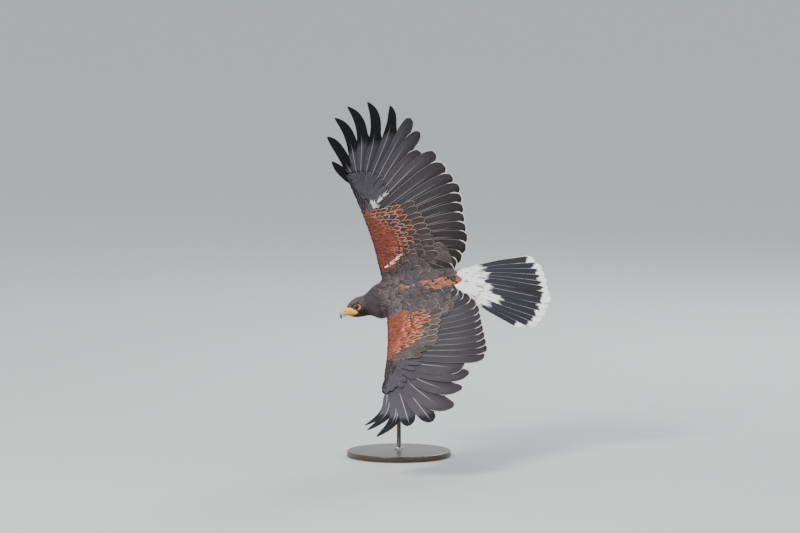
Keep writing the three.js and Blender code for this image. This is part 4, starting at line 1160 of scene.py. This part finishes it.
def body_feathers():
    """Scale-like rows of contour feathers from the bill back over the head, neck, back and belly."""
    head, body = [Plumage(f"{part}_feathers", "plumage_dark") for part in ("head", "body")]
    along, row = 2.5, 0
    while along < TRUNK_END + 2:
        share = smoothstep(along, HEAD_LONG * 0.4, TRUNK_FROM + 40)
        long, half = [lerp(*ends, share) for ends in zip(HEAD_TUFT, BODY_TUFT)]
        sizes = BODY.read(BODY.sizes, along)
        round_length = math.pi * (sizes[0] + (sizes[1] + sizes[2]) / 2)
        radius = round_length / (2 * math.pi)
        count = int(round_length / (half * 1.25))
        for k in range(count):
            angle = 2 * math.pi * (k + 0.5 * (row % 2) + draw(-0.15, 0.15)) / count
            start = along + draw(-0.1, 0.1) * long
            if not feathered(start, angle):
                continue
            lift = lerp(0.7, 2.2, share) * draw(0.8, 1.2)
            straight, across = heading(draw(-8, 8))

            def surface(far, aside, high):
                a = start + far * straight - aside * across
                b = angle + (aside * straight + far * across) / radius
                return BODY.at(a, b, lift * far / long - lerp(1.1, 2.4, share) + high)

            tint, fringe, width = body_colour(start + long * 0.7, angle)
            grow(
                head if along < HEAD_LONG + 6 else body, surface, long * draw(0.9, 1.1), (half, half),
                tuft_vane, tint, patch_uv((angle % (2 * math.pi)) / (2 * math.pi), start / BODY.length),
                rows=6, ragged=0.16,
                fringe=fringe, fringe_width=width * lerp(0.4, 1, share), fringe_from=0.4,
                arch=lerp(0.1, 0.5, share), shade=0.45, mottle=0.6, **TUFT_BLADE,
            )
        along += long * BODY_STEP
        row += 1
    return [head.make(), body.make()]


def feathered(along, angle):
    """False on the bare skin between bill and eye, along the gape and over the eye itself."""
    if along > HEAD_LONG:
        return True
    spot = to_head(BODY.at(along, angle))[None]
    return not (bare_face(spot)[0] > 0.35 or over_eye(spot)[0])


def over_eye(spots):
    """True on the bare ring of skin round each eye, which is widest behind and below it."""
    flat = np.hypot((spots[:, 0] - EYE["x"] + 1.4) / 1.25, spots[:, 2] - EYE["z"] + 0.7)
    return (flat < 7.6) & (np.abs(spots[:, 1]) > 8)


def bare_face(spots):
    """1 on the yellow skin of the face, 0 on feathered skin, from points of the head's frame."""
    x, z = spots[:, 0], spots[:, 2]
    above = lerp(-2.0, 8.4, smoothstep(x, 4, 21))
    below = lerp(-9.0, -13.0, smoothstep(x, 6, 26))
    rows = smoothstep(z, below - 1, below + 0.6) * (1 - smoothstep(z, above - 0.6, above + 1))
    return rows * smoothstep(x, 4.6, 6.6) * (np.abs(spots[:, 1]) > 4)


def dorsal_height(side, out, ahead):
    """Height of the back and of the wing's root beside it, at places out from the spine and ahead."""
    along = np.interp(-ahead, -BODY.middle[:, 0], BODY.along)
    middle, sizes = BODY.read(BODY.middle, along), BODY.read(BODY.sizes, along)
    aside = (side["sign"] * out - middle[..., 1]) / (sizes[..., 0] + 1.5)
    body = middle[..., 2] + (sizes[..., 1] + 1.5) * np.sqrt(np.clip(1 - aside ** 2, 0, 1))
    lift, sweep = heading(side["raise"]), heading(side["sweep"])
    forth = ahead - SHOULDER[0]
    high = np.zeros_like(out)
    for _ in range(3):
        far = (out - SHOULDER[1] + high * lift[1]) / lift[0]
        x = far * sweep[0] + forth * sweep[1]
        y = forth * sweep[0] - far * sweep[1]
        high = deck(x, y) - CAMBER * ((y - CAMBER_LINE) / 100) ** 2
    wing = SHOULDER[2] + far * lift[1] + high * lift[0]
    return np.logaddexp(body / SOFT_MEET, wing / SOFT_MEET) * SOFT_MEET


def scapulars():
    """The shoulder feathers, in staggered rows from the mantle back over the root of each wing."""
    piece = Plumage("shoulder_feathers", "plumage_dark")
    for name, side in SIDES.items():
        # Painted light: the left shoulder feathers are painted 1.15 times brighter than the right ones.
        sign, light = side["sign"], 1.0 if name == "right" else 1.15
        for row in range(11):
            ahead = 42 - 13.5 * row
            size = smoothstep(-ahead, -20, 50)
            wide = np.interp(ahead, *SHOULDER_EDGE[name])
            inner, step = lerp(15, 22 if sign < 0 else 33, size), lerp(9.0, 13.5, size)
            count = int((wide - inner) / step) + 1
            for i in range(count):
                out = inner + (i + 0.5 * (row % 2)) * (wide - inner) / count + draw(-2, 2)
                share = np.clip((out - inner) / (wide - inner + 0.1), 0, 1)
                toward = heading(-90 + lerp(-8, 15, share) + draw(-7, 7))
                long, half = lerp(29, 52, size) * draw(0.85, 1.1), lerp(7.4, 12.4, size) * draw(0.85, 1.12)
                skew, tip_lift = draw(-0.03, 0.05), draw(1.1, 2.0)

                def surface(along, aside, high):
                    x, y = on_plane((out, ahead), toward, along, aside)
                    rise = lerp(-2.2, tip_lift, np.clip(along / long, 0, 1)) + skew * aside
                    return np.stack([y, sign * x, dorsal_height(side, x, y) + rise + high], axis=-1)

                base = jitter(blend(MANTLE, GREATER * 1.3, 0.6) * light, 0.16)
                fringe = FINE_EDGE * draw(0.25, 1.0) * light
                if chance() < 0.12:
                    fringe = blend(RUFOUS_PALE, FINE_EDGE, 0.35) * light
                grow(
                    piece, surface, long, (half, half), covert_vane, base,
                    patch_uv(0.5 + 0.2 * sign * share, 0.9 - 0.05 * row / 13), ragged=0.08, fringe=fringe,
                    fringe_width=draw(0.7, 1.4), arch=0.35, shade=0.75, side_fringe=0.25, fringe_from=0.45,
                    quill=0.1, mottle=0.6, **COVERT_BLADE,
                )
    return piece.make()


def tail_coverts():
    """The coverts over and under the root of the tail, white and loose-edged."""
    piece = Plumage("tail_coverts", "plumage_white")
    for pairs, row_long, start, height, spread, half in TAIL_COVERTS:
        over = height[0] > 0
        for sign in (-1, 1):
            for i in range(pairs):
                share = (i + 0.5) / (pairs - 0.5)
                ahead = heading(spread * share + draw(-1.5, 1.5))
                root = np.array([start, 1 + 2.6 * i], float)
                long = row_long * (1 - 0.12 * share ** 2) * draw(0.84, 1.04)
                base = jitter(WHITE, 0.05)
                streak = 0.85 if chance() < 0.3 and over else 0

                def tint(along, aside):
                    dark = smoothstep(along, 0.55, 0.8) * (1 - smoothstep(np.abs(aside), 0.15, 0.4)) * streak
                    return blend(base, DARK, dark)

                flat_feather(
                    piece, tail_space(sign), root, root + long * ahead, height, (5, 11), (half, half * 1.1),
                    covert_vane, tint, patch_uv(0.5 + 0.3 * sign * share, 0.05 + 0.1 * over), ragged=0.22,
                    fringe_width=1.2, arch=0.5, shade=0.1, **COVERT_BLADE | {"rows": 14, "ridge": 0.2},
                )
    return piece.make()


def thigh_tube(sign):
    """The feathered thigh from the hip back to the heel."""
    middle = lerp(HIP, HEEL, 0.55) + [0, 3, -7]
    places = np.array([HIP + [17, 0, 9], HIP + [3, 0, 1], middle, HEEL + [6, 0, 0]]) * [1, sign, 1]
    t = np.linspace(0, 1, 14)
    path = np.stack([smooth_row(places[:, k])(t) for k in range(3)], axis=1)
    rings = []
    for spot, size, ahead in zip(path, smooth_row([10, 20.5, 20, 7.5])(t), unit(np.gradient(path, axis=0))):
        side = unit(np.cross([0, 0, 1.0], ahead))
        rings.append([spot, side, np.cross(ahead, side), size - 2, size - 2, size - 2])
    return Tube(rings)


def thigh_feathers():
    """The loose chestnut feathers of both thighs."""
    piece = Plumage("thigh_feathers", "plumage_rufous")
    for sign in (-1, 1):
        tube = thigh_tube(sign)
        along, row = 0.0, 0
        while along < tube.length - 3:
            share = along / tube.length
            long, half = [lerp(*ends, share) for ends in zip(HIP_TUFT, HEEL_TUFT)]
            radius = float(tube.read(tube.sizes, along)[0])
            count = max(int(2 * math.pi * radius / (half * 1.2)), 6)
            for k in range(count):
                angle = 2 * math.pi * (k + 0.5 * (row % 2)) / count
                lift = draw(1.4, 2.6)

                def surface(far, aside, high):
                    return tube.at(along + far, angle + aside / radius, lift * far / long - 0.6 + high)

                grow(
                    piece, surface, long * draw(0.85, 1.05), (half, half), tuft_vane,
                    jitter(RUFOUS * 0.85, 0.2),
                    patch_uv(0.5 + 0.24 * sign + 0.18 * math.cos(angle), share * 0.9), rows=6, ragged=0.2,
                    fringe=RUFOUS_PALE * 0.9, fringe_width=1.2, arch=0.4, **TUFT_BLADE,
                )
            along += long * THIGH_STEP
            row += 1
    return piece.make()


# Materials

class Nodes:
    """Short calls for building a material's nodes."""

    def __init__(self, name):
        self.material = bpy.data.materials.new(name)
        self.material.use_nodes = True
        self.tree = self.material.node_tree
        self.shader = self.tree.nodes["Principled BSDF"]

    def add(self, kind, inputs=None, **settings):
        node = self.tree.nodes.new(kind)
        for key, value in settings.items():
            setattr(node, key, value)
        for key, value in (inputs or {}).items():
            self.set(node.inputs[key], value)
        return node

    def set(self, socket, value):
        if isinstance(value, bpy.types.NodeSocket):
            self.tree.links.new(value, socket)
        elif hasattr(value, "__len__") and len(value) == 3 and socket.type == "RGBA":
            socket.default_value = (*value, 1)
        else:
            socket.default_value = value

    def attribute(self, name, output="Fac"):
        return self.add("ShaderNodeAttribute", attribute_name=name).outputs[output]

    def place(self, stretch=(1.0, 1.0, 1.0)):
        """Place on the piece, with its axes scaled."""
        place = self.add("ShaderNodeTexCoord").outputs["Object"]
        return self.add("ShaderNodeMapping", {"Vector": place, "Scale": stretch}).outputs[0]

    def math(self, operation, a, b=0.0):
        return self.add("ShaderNodeMath", {0: a, 1: b}, operation=operation).outputs[0]

    def times(self, a, b):
        return self.math("MULTIPLY", a, b)

    def mix(self, factor, a, b, kind="MIX"):
        node = self.add("ShaderNodeMix", data_type="RGBA", blend_type=kind)
        for index, value in ((0, factor), (6, a), (7, b)):
            self.set(node.inputs[index], value)
        return node.outputs[2]

    def scaled(self, colour, by):
        return self.mix(1.0, colour, (by, by, by), "MULTIPLY")

    def band(self, value, low, high, to_low=0.0, to_high=1.0):
        sockets = {"Value": value, "From Min": low, "From Max": high, "To Min": to_low, "To Max": to_high}
        return self.add("ShaderNodeMapRange", sockets, interpolation_type="SMOOTHSTEP").outputs[0]

    def noise(self, scale, detail=3, vector=None, rough=0.55):
        inputs = {"Scale": scale, "Detail": detail, "Roughness": rough}
        if vector is not None:
            inputs["Vector"] = vector
        return self.add("ShaderNodeTexNoise", inputs).outputs[0]

    def finish(self, colour, rough, bump=None, strength=0.3, distance=0.0004, **fixed):
        self.set(self.shader.inputs["Base Color"], colour)
        self.set(self.shader.inputs["Roughness"], rough)
        if bump is not None:
            node = self.add("ShaderNodeBump", {"Height": bump, "Strength": strength, "Distance": distance})
            self.tree.links.new(node.outputs[0], self.shader.inputs["Normal"])
        for key, value in fixed.items():
            self.shader.inputs[key.replace("_", " ")].default_value = value
        return self.material


def feather_material():
    """Barbs that slant from the shaft, a pale or dark shaft, an edge of another colour, and wear."""
    n = Nodes("plumage")
    parts = n.add("ShaderNodeSeparateXYZ", {0: n.attribute("lay", "Vector")})
    aside = n.math("ABSOLUTE", parts.outputs[0])
    barb = n.math("SUBTRACT", parts.outputs[1], n.times(aside, 0.9))
    inputs = {0: n.times(barb, 0.9), 1: n.times(aside, 0.06), 2: parts.outputs[2]}
    spot = n.add("ShaderNodeCombineXYZ", inputs)
    streak = n.noise(1.0, 4, spot.outputs[0], 0.6)
    tint = n.attribute("tint", "Color")
    worn = n.math("ADD", n.attribute("rim"), n.times(n.math("SUBTRACT", streak, 0.5), 0.9))
    shaded = n.mix(n.band(streak, 0.25, 0.75), n.scaled(tint, 0.74), n.scaled(tint, 1.3))
    edged = n.mix(n.band(worn, 0.55, 1.15, 1.0, 0.0), shaded, n.attribute("fringe", "Color"))
    shaft = n.times(n.band(aside, 0.45, 0.95, 1.0, 0.0), n.attribute("quill"))
    bump = n.math("ADD", n.times(streak, 0.8), n.times(n.math("SINE", n.times(barb, 7.0)), 0.2))
    colour, rough = n.mix(shaft, edged, tuple(SHAFT_PALE)), n.band(streak, 0.2, 0.8, 0.52, 0.72)
    return n.finish(colour, rough, bump, 0.35, Specular_IOR_Level=0.22)


def skin_material():
    """Skin under the feathers takes their colour from its own points; bare skin is finely wrinkled."""
    n = Nodes("skin")
    tint, grain = n.attribute("tint", "Color"), n.noise(900, 4)
    colour = n.mix(n.band(grain, 0.3, 0.7), n.scaled(tint, 0.8), n.scaled(tint, 1.15))
    return n.finish(colour, 0.62, grain, 0.5, 0.0005, Specular_IOR_Level=0.35)


def cere_material():
    """Clear yellow skin with a soft glow."""
    n = Nodes("cere")
    colour = n.mix(n.band(n.noise(120, 2), 0.35, 0.7), tuple(YELLOW * 0.94), tuple(YELLOW * 1.06))
    return n.finish(colour, 0.45, n.noise(700, 4), 0.25, Subsurface_Weight=0.12, Subsurface_Scale=0.002)


def lid_material():
    """The thin rim of the lids, orange-brown and finely wrinkled."""
    n = Nodes("lid")
    grain = n.noise(800, 4)
    colour = n.mix(n.band(grain, 0.3, 0.7), (0.26, 0.11, 0.05), (0.5, 0.25, 0.11))
    return n.finish(colour, 0.5, grain, 0.3, 0.0003)


def gape_material():
    n = Nodes("gape")
    return n.finish(n.mix(n.noise(600, 2), (0.02, 0.011, 0.006), (0.06, 0.03, 0.012)), 0.6)


def bill_material():
    """Pale blue-grey horn that darkens to a black tip, by distance along the bill."""
    n = Nodes("horn")
    grain = n.noise(400)
    share = n.math("ADD", n.attribute("tip"), n.times(n.math("SUBTRACT", grain, 0.5), 0.18))
    colour = n.mix(n.band(share, 0.25, 0.8), (0.36, 0.42, 0.47), (0.025, 0.027, 0.032))
    return n.finish(colour, 0.3, grain, 0.12, 0.0003, Specular_IOR_Level=0.5)


def claw_material():
    n = Nodes("claw")
    grain = n.noise(500)
    return n.finish(n.mix(grain, (0.008, 0.008, 0.009), (0.03, 0.029, 0.03)), 0.28, grain, 0.12, 0.0003)


def leg_material():
    """Yellow scaled skin: plates from a cell pattern."""
    n = Nodes("leg")
    inputs = {"Vector": n.place(), "Scale": 420}
    plate = n.band(n.add("ShaderNodeTexVoronoi", inputs, feature="DISTANCE_TO_EDGE").outputs[0], 0.02, 0.16)
    colour = n.mix(n.band(n.noise(160), 0.3, 0.7), (0.72, 0.42, 0.05), (0.82, 0.55, 0.11))
    shaded = n.mix(plate, n.mix(1.0, colour, (0.45, 0.4, 0.35), "MULTIPLY"), colour)
    return n.finish(shaded, 0.48, plate, 0.6, 0.0006)


def eye_material():
    """Dark brown iris round a black pupil, by distance from the eye's axis."""
    n = Nodes("eye")
    ring = n.attribute("ring")
    iris = n.mix(n.band(n.noise(900), 0.3, 0.7), (0.022, 0.008, 0.004), (0.06, 0.022, 0.009))
    colour = n.mix(n.band(ring, 0.46, 0.52), (0.002, 0.002, 0.002), iris)
    edged = n.mix(n.band(ring, 0.8, 0.9), colour, (0.01, 0.006, 0.005))
    return n.finish(edged, 0.08, Coat_Weight=0.25, Coat_Roughness=0.02, Specular_IOR_Level=0.3)


def wood_material():
    """Dark wood with a long grain, small pores and a thin varnish."""
    n = Nodes("wood")
    stretched = n.place((1.0, 9.0, 9.0))
    grain, pores = n.noise(26, 6, stretched, 0.65), n.noise(240, 3, stretched)
    colour = n.mix(n.band(grain, 0.35, 0.68), (0.022, 0.014, 0.009), (0.075, 0.045, 0.028))
    dark = n.mix(n.band(pores, 0.6, 0.72), colour, (0.012, 0.008, 0.006))
    rough = n.band(grain, 0.3, 0.7, 0.32, 0.45)
    return n.finish(dark, rough, pores, 0.15, Coat_Weight=0.25, Coat_Roughness=0.2)


def steel_material():
    """Steel with fine drawn lines."""
    n = Nodes("steel")
    lines = n.noise(60, 3, n.place((40.0, 40.0, 0.6)))
    colour = n.mix(lines, (0.42, 0.43, 0.44), (0.6, 0.61, 0.62))
    return n.finish(colour, n.band(lines, 0.3, 0.7, 0.22, 0.38), lines, 0.08, 0.0002, Metallic=1.0)


def floor_material():
    n = Nodes("floor")
    return n.finish(n.mix(n.noise(3, 2), (0.52, 0.53, 0.53), (0.55, 0.555, 0.56)), 0.8)


# Skin, head and feet

def skin_tint(points):
    """Colour of the skin at points of the bird's frame, to go with the feathers over it."""
    out = np.abs(points[:, 1])
    tint = np.tile(DARK * 0.8, (len(points), 1))
    tint = blend(tint, RUFOUS * 0.7, smoothstep(out, *SKIN_ARM))
    tint = blend(tint, SLATE * 0.7, smoothstep(out, *SKIN_HAND))
    tint = blend(tint, WHITE * 0.8, smoothstep(-points[:, 0], *SKIN_TAIL) * (out < 60))
    spot = to_head(points)
    near = (np.abs(spot[:, 1]) < 30) & (spot[:, 0] < 40)
    tint = blend(tint, ORBIT, over_eye(spot) * near)
    pale = smoothstep(spot[:, 2] - 0.35 * spot[:, 0], -9, -3)
    return blend(tint, blend(YELLOW * 0.95, YELLOW_PALE, pale), bare_face(spot) * near)


def ellipsoid(middle, radii, turn_by, rows=14, count=20):
    a, b = np.linspace(0.05, math.pi - 0.05, rows)[:, None], round_angles(count)[None]
    ball = np.stack([np.cos(a) * np.ones_like(b), np.sin(a) * np.cos(b), np.sin(a) * np.sin(b)], axis=-1)
    return (ball * radii) @ turn_by.T + middle


def sink_eyes(points):
    """Presses a socket behind each eye."""
    spot = to_head(points)
    radius = EYE["radius"] - 0.2
    flat = np.hypot(spot[:, 0] - EYE["x"], spot[:, 2] - EYE["z"])
    depth = EYE["y"] - np.sqrt(np.maximum(radius ** 2 - flat ** 2, 0)) * 0.6
    for sign in (-1, 1):
        inside = (flat < radius) & (sign * spot[:, 1] > 6)
        spot[inside, 1] = sign * depth[inside]
    return from_head(spot)


def skin():
    """One skin over head, neck, trunk, thighs and fleshy wings, joined by remeshing so that no seam shows."""
    rings = []
    for along in np.linspace(0, TRUNK_END, 90):
        depth = lerp(*SKIN_DEPTH, smoothstep(along, HEAD_LONG * 0.5, TRUNK_FROM))
        rings.append(BODY.at(np.full(40, along), round_angles(40), -depth))
    forms = [loft(rings)]
    for side in SIDES.values():
        sign, tube = side["sign"], thigh_tube(side["sign"])
        lengths = np.linspace(0, tube.length, 16)
        brow = np.array([EYE["x"] + 2, sign * (EYE["y"] + 2.2), EYE["z"] + 6.6])
        forms += [
            loft(wing_core(side, WING_DEPTH)),
            loft([tube.at(np.full(24, along), round_angles(24), -0.4) for along in lengths]),
            loft(from_head(ellipsoid(brow, (12, 3.8, 2.4), turn("z", -sign * 14) @ turn("y", 14)))),
        ]
    bm = bmesh.new()
    for points, faces in forms:
        verts = [bm.verts.new(p) for p in to_frame(points)]
        for face in faces:
            bm.faces.new([verts[i] for i in face])
    bmesh.ops.recalc_face_normals(bm, faces=bm.faces)
    mesh = bpy.data.meshes.new("skin")
    bm.to_mesh(mesh)
    bm.free()
    flesh = ["head", "neck", "torso", "rump", "thigh_right", "thigh_left"]
    flesh += [f"wing_{name}_{part}" for name in SIDES for part in ("arm", "hand")]
    mesh = add_piece("skin", mesh, "skin", "plumage_dark", flesh, SKIN_EVEN).data
    places = np.zeros(len(mesh.vertices) * 3, np.float32)
    mesh.vertices.foreach_get("co", places)
    points = sink_eyes((places.reshape(-1, 3) / MM - BIRD_PLACE) @ BIRD)
    mesh.vertices.foreach_set("co", to_frame(points).astype(np.float32).ravel())
    mesh.update()
    keep_values(mesh, "tint", skin_tint(points))


def eyes():
    """Each eye's ball with its bulging front, and the lids round it."""
    for name, side in SIDES.items():
        sign = side["sign"]
        middle = np.array([EYE["x"], sign * EYE["y"], EYE["z"]])
        a, b = np.linspace(0.02, math.pi - 0.02, 26)[:, None], round_angles(36)[None]
        across, outward = np.ones_like(b), sign * np.cos(a)
        ball = np.stack([np.sin(a) * np.cos(b), outward * across, np.sin(a) * np.sin(b)], axis=-1)
        radius = EYE["radius"] * (1 + 0.05 * np.clip(np.cos(a) - 0.75, 0, 1) * 4)
        points, faces = loft(from_head(ball * radius[..., None] + middle))
        spot = to_head(points)
        flat = np.hypot(spot[:, 0] - EYE["x"], spot[:, 2] - EYE["z"])
        ring = np.where(sign * spot[:, 1] > EYE["y"], flat / LID_RADIUS, 1.0)
        solid(f"eye_{name}_ball", (to_frame(points), faces), "eye", "eye", [f"eye_{name}"], ring=ring)
        rings = []
        for angle in round_angles(40):
            lid = 1.0 if math.sin(angle) > 0 else 0.86
            out = np.array([math.cos(angle), 0, math.sin(angle) * 0.88])
            centre = middle + out * LID_RADIUS + [0, sign * (3.9 - 0.9 * math.cos(angle) ** 2), 0]
            rings.append([
                centre + out * 0.8 * lid * math.cos(tilt) + [0, sign * 1.2 * math.sin(tilt), 0]
                for tilt in round_angles(12)
            ])
        on_head(f"lids_{name}", rings, "lid", "cere", closed=True)


def gape_lines():
    """The nostrils as dark pits of painted shade, and the dark line of the mouth from the bill back over the
    yellow skin to its corner.
    """
    head = curves(HEAD)
    for name, side in SIDES.items():
        sign, rings = side["sign"], []
        for t in np.linspace(0, 1, 24):
            x, z = lerp(BILL_BASE + 1, 5.2, t), lerp(MOUTH - 1.6, MOUTH + 0.6, t ** 0.7)
            share = share_at(head["x"], x)
            wide = head["wide"](share) * math.sqrt(max(1 - (z / head["bottom"](share)) ** 2, 0.05)) - 0.9
            thick = 0.95 * math.sin(math.pi * min(t * 0.9 + 0.35, 1)) + 0.12
            rings.append([
                [x, sign * (wide + thick * math.cos(a)), z + thick * math.sin(a)] for a in round_angles(8)
            ])
        on_head(f"gape_line_{name}", rings, "gape", "cere")
        x, z, long, high = NOSTRIL
        # Each nostril is a dark pit: painted shade standing in for the hollow of the opening.
        nostril_shade = ellipsoid(np.array([x, sign * NOSTRIL_SIDE, z]), (long * 0.8, 0.9, high * 0.75), turn("y", 25))
        on_head(f"nostril_{name}", nostril_shade, "gape", "cere")


def head_ring(x, z, wide, top, bottom, drop):
    """An egg-shaped ring of the bill, tipped down by some degrees, with a ridge along its top."""
    c, s = heading(drop)
    angle = round_angles(28)
    tall = np.where(np.sin(angle) > 0, top, bottom) * np.sin(angle)
    across = wide * np.cos(angle) * (1 - 0.18 * np.clip(np.sin(angle), 0, 1))
    return np.array([x, 0, z]) + across[:, None] * np.array([0, 1, 0]) + tall[:, None] * np.array([s, 0, c])


def ring_rows(rows, steps):
    """Rings smoothed through a few rows of x, z, half width, top, bottom and drop."""
    reads = [smooth_row(column) for column in np.array(rows, float).T]
    shares = np.linspace(0, 1, steps)
    return np.array([head_ring(*[float(read(share)) for read in reads]) for share in shares])


def horn(name, node, rows, steps, low, high):
    """One half of the bill; it keeps how near to the dark tip each ring is."""
    rings = ring_rows(rows, steps)
    tip = np.concatenate([np.repeat(np.linspace(low, high, steps), rings.shape[1]), [0, 1]])
    on_head(name, rings, "bill", "horn", [node], tip=tip)


def cere_and_bill():
    """The cere with a dent at each nostril, the hooked upper half of the bill and the lower one."""
    start, front = BILL_BASE + CERE_LONG, BILL_BASE + BILL_REACH
    cere = ring_rows([
        [BILL_BASE - 3, 0, 11.2, 8.4, 13.0, 0],
        [BILL_BASE, 0, 10.2, 7.8, 11, 0],
        [lerp(BILL_BASE, start, 0.5), -0.5, 9, 7, 8.6, 6],
        [start, -1.8, 7.5, 5.4, 5.9, 10],
        [start + 0.8, -2.0, 6.4, 4.6, 5.0, 10],
    ], 18)
    x, z, long, high = NOSTRIL
    for sign in (-1, 1):
        flat = np.hypot((cere[..., 0] - x) / long, (cere[..., 2] - z) / high) / 1.15
        dent = (flat < 1) & (sign * cere[..., 1] > 0)
        cere[..., 1] = np.where(dent, cere[..., 1] - sign * 2.2 * (1 - flat ** 2), cere[..., 1])
    on_head("cere_skin", cere, "cere", "cere", ["cere"])
    horn("bill_upper_horn", "bill_upper", [
        [start - 0.6, -1.8, 7.3, 5.3, 5.8, 10],
        [lerp(start, front, 0.36), -3, 6.1, 4.9, 5.2, 20],
        [lerp(start, front, 0.66), -5.6, 4.7, 4.4, 4.5, 38],
        [lerp(start, front, 0.88), -9.4, 3.2, 3.5, 3.6, 58],
        [lerp(start, front, 0.95), -13.4, 2.0, 2.3, 2.4, 76],
        [lerp(start, front, 0.88), -HOOK_DROP, 0.4, 0.5, 0.6, 96],
    ], 30, 0, 1)
    horn("bill_lower_horn", "bill_lower", [
        [BILL_BASE - 1, MOUTH - 3.0, 6.6, 2.9, 3.0, 0],
        [BILL_BASE + 6, MOUTH - 3.3, 5.3, 2.5, 2.6, 2],
        [BILL_BASE + 10, MOUTH - 3.5, 3.6, 1.9, 2.0, 4],
        [BILL_BASE + 12.6, MOUTH - 3.4, 1.2, 0.8, 0.8, 6],
    ], 16, 0.15, 0.75)


def feet():
    """Finer, smoothed skins over the frame's feet and claws, which they replace."""
    for name in SIDES:
        parts = [(f"foot_{name}", "skin", "leg", FOOT_EVEN)]
        parts += [(f"claw_{name}_{i}", "horn", "claw", CLAW_EVEN) for i in range(1, 5)]
        for node, kind, look, even in parts:
            add_piece(f"{node}_{kind}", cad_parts[node].data.copy(), look, look, [node], even)


# Stand

def turned(profile, count, forward=0):
    """A turned form's rings in the shared frame, from pairs of radius and height."""
    around = round_angles(count)
    rings = [[(r * math.cos(a), r * math.sin(a) + forward, z) for a in around] for r, z in profile]
    return np.array(rings) * MM


def stand():
    """The wood disc, the rod up into the belly and the collar at its foot."""
    profile = [(0.5, 0), (BASE_RADIUS - BASE_FOOT, 0), (BASE_RADIUS, BASE_FOOT)]
    for a in np.linspace(0, math.pi / 2, 8):
        in_by, down_by = BASE_EDGE * (1 - math.cos(a)), BASE_EDGE * (1 - math.sin(a))
        profile.append((BASE_RADIUS - in_by, BASE_THICK - down_by))
    profile.append((0.5, BASE_THICK))
    solid("base_disc", loft(turned(profile, 128, BASE_FORWARD)), "wood", "wood", ["stand_base"])
    low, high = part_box("stand_rod")
    ends = [(ROD_RADIUS, low[2] / MM - 0.2), (ROD_RADIUS, high[2] / MM - 3)]
    rod = solid("rod", loft(turned(ends, 32)), "steel", "steel", ["stand_rod"])
    rod.data.polygons.foreach_set("use_smooth", [len(p.vertices) == 4 for p in rod.data.polygons])
    solid("rod_collar", loft(turned(COLLAR, 64)[::-1], closed=True), "steel", "steel", smooth=False)


# Room, light and camera

def room():
    """A plain pale floor, wide enough to fill the picture behind the bird."""
    mesh = bpy.data.meshes.new("floor")
    edge = [(FLOOR_RADIUS * math.cos(a), FLOOR_RADIUS * math.sin(a), 0.0) for a in round_angles(64)]
    mesh.from_pydata(edge, [], [tuple(range(len(edge)))])
    mesh.materials.append(floor_material())
    link("floor", mesh)


def aim_at(thing, place, aim):
    back = unit(np.array(place, float) - np.array(aim, float))
    right = unit(np.cross([0, 0, 1], back))
    world = np.eye(4)
    world[:3, 0], world[:3, 1], world[:3, 2], world[:3, 3] = right, np.cross(back, right), back, place
    thing.matrix_world = Matrix(world.tolist())


def lights():
    """A warm key light, a cool fill, a light from behind and a pale sky."""
    for name, place, size, power, colour in (
        ("key", (-2.4, -3.4, 3.6), 1.5, 262, (1.0, 0.975, 0.94)),
        ("fill", (3.4, -3.6, 1.4), 2.6, 50, (0.92, 0.96, 1.0)),
        ("back", (1.4, 3.0, 2.8), 1.6, 90, (1, 1, 1)),
    ):
        light = bpy.data.lights.new(name, "AREA")
        light.shape, light.size, light.energy, light.color = "DISK", size, power, colour
        aim_at(link(name, light), place, (0, 0, 0.45))
    world = bpy.data.worlds.new("studio")
    world.use_nodes = True
    sky = world.node_tree.nodes["Background"].inputs
    sky[0].default_value, sky[1].default_value = (0.88, 0.92, 0.96, 1), 1.0
    bpy.context.scene.world = world


def camera():
    """The photo's view, from far off and a little above."""
    level, down = heading(LEAN)
    up, ahead = np.array([0, down, level]), np.array([0, level, -down])
    aim = BIRD_PLACE * MM + (np.array([-BODY_OFFSET[0], 0, 0]) + up * BODY_OFFSET[1]) * PIXEL * MM
    data = bpy.data.cameras.new("camera")
    data.sensor_width = SENSOR
    data.lens = SENSOR * DISTANCE / (PICTURE_WIDE * PIXEL * MM)
    data.clip_end = VIEW_END
    thing = link("camera", data)
    aim_at(thing, aim - ahead * DISTANCE, aim)
    bpy.context.scene.camera = thing


def main():
    MATERIALS.update(
        feather=feather_material(), skin=skin_material(), eye=eye_material(), cere=cere_material(),
        bill=bill_material(), claw=claw_material(), leg=leg_material(), wood=wood_material(),
        steel=steel_material(), lid=lid_material(), gape=gape_material(),
    )
    skin()
    body_feathers()
    scapulars()
    for name, side in SIDES.items():
        primaries(name, side)
        secondaries(name, side)
        wing_coverts(name, side)
    tail_feathers()
    tail_coverts()
    thigh_feathers()
    eyes()
    gape_lines()
    cere_and_bill()
    feet()
    stand()
    room()
    lights()
    camera()


main()
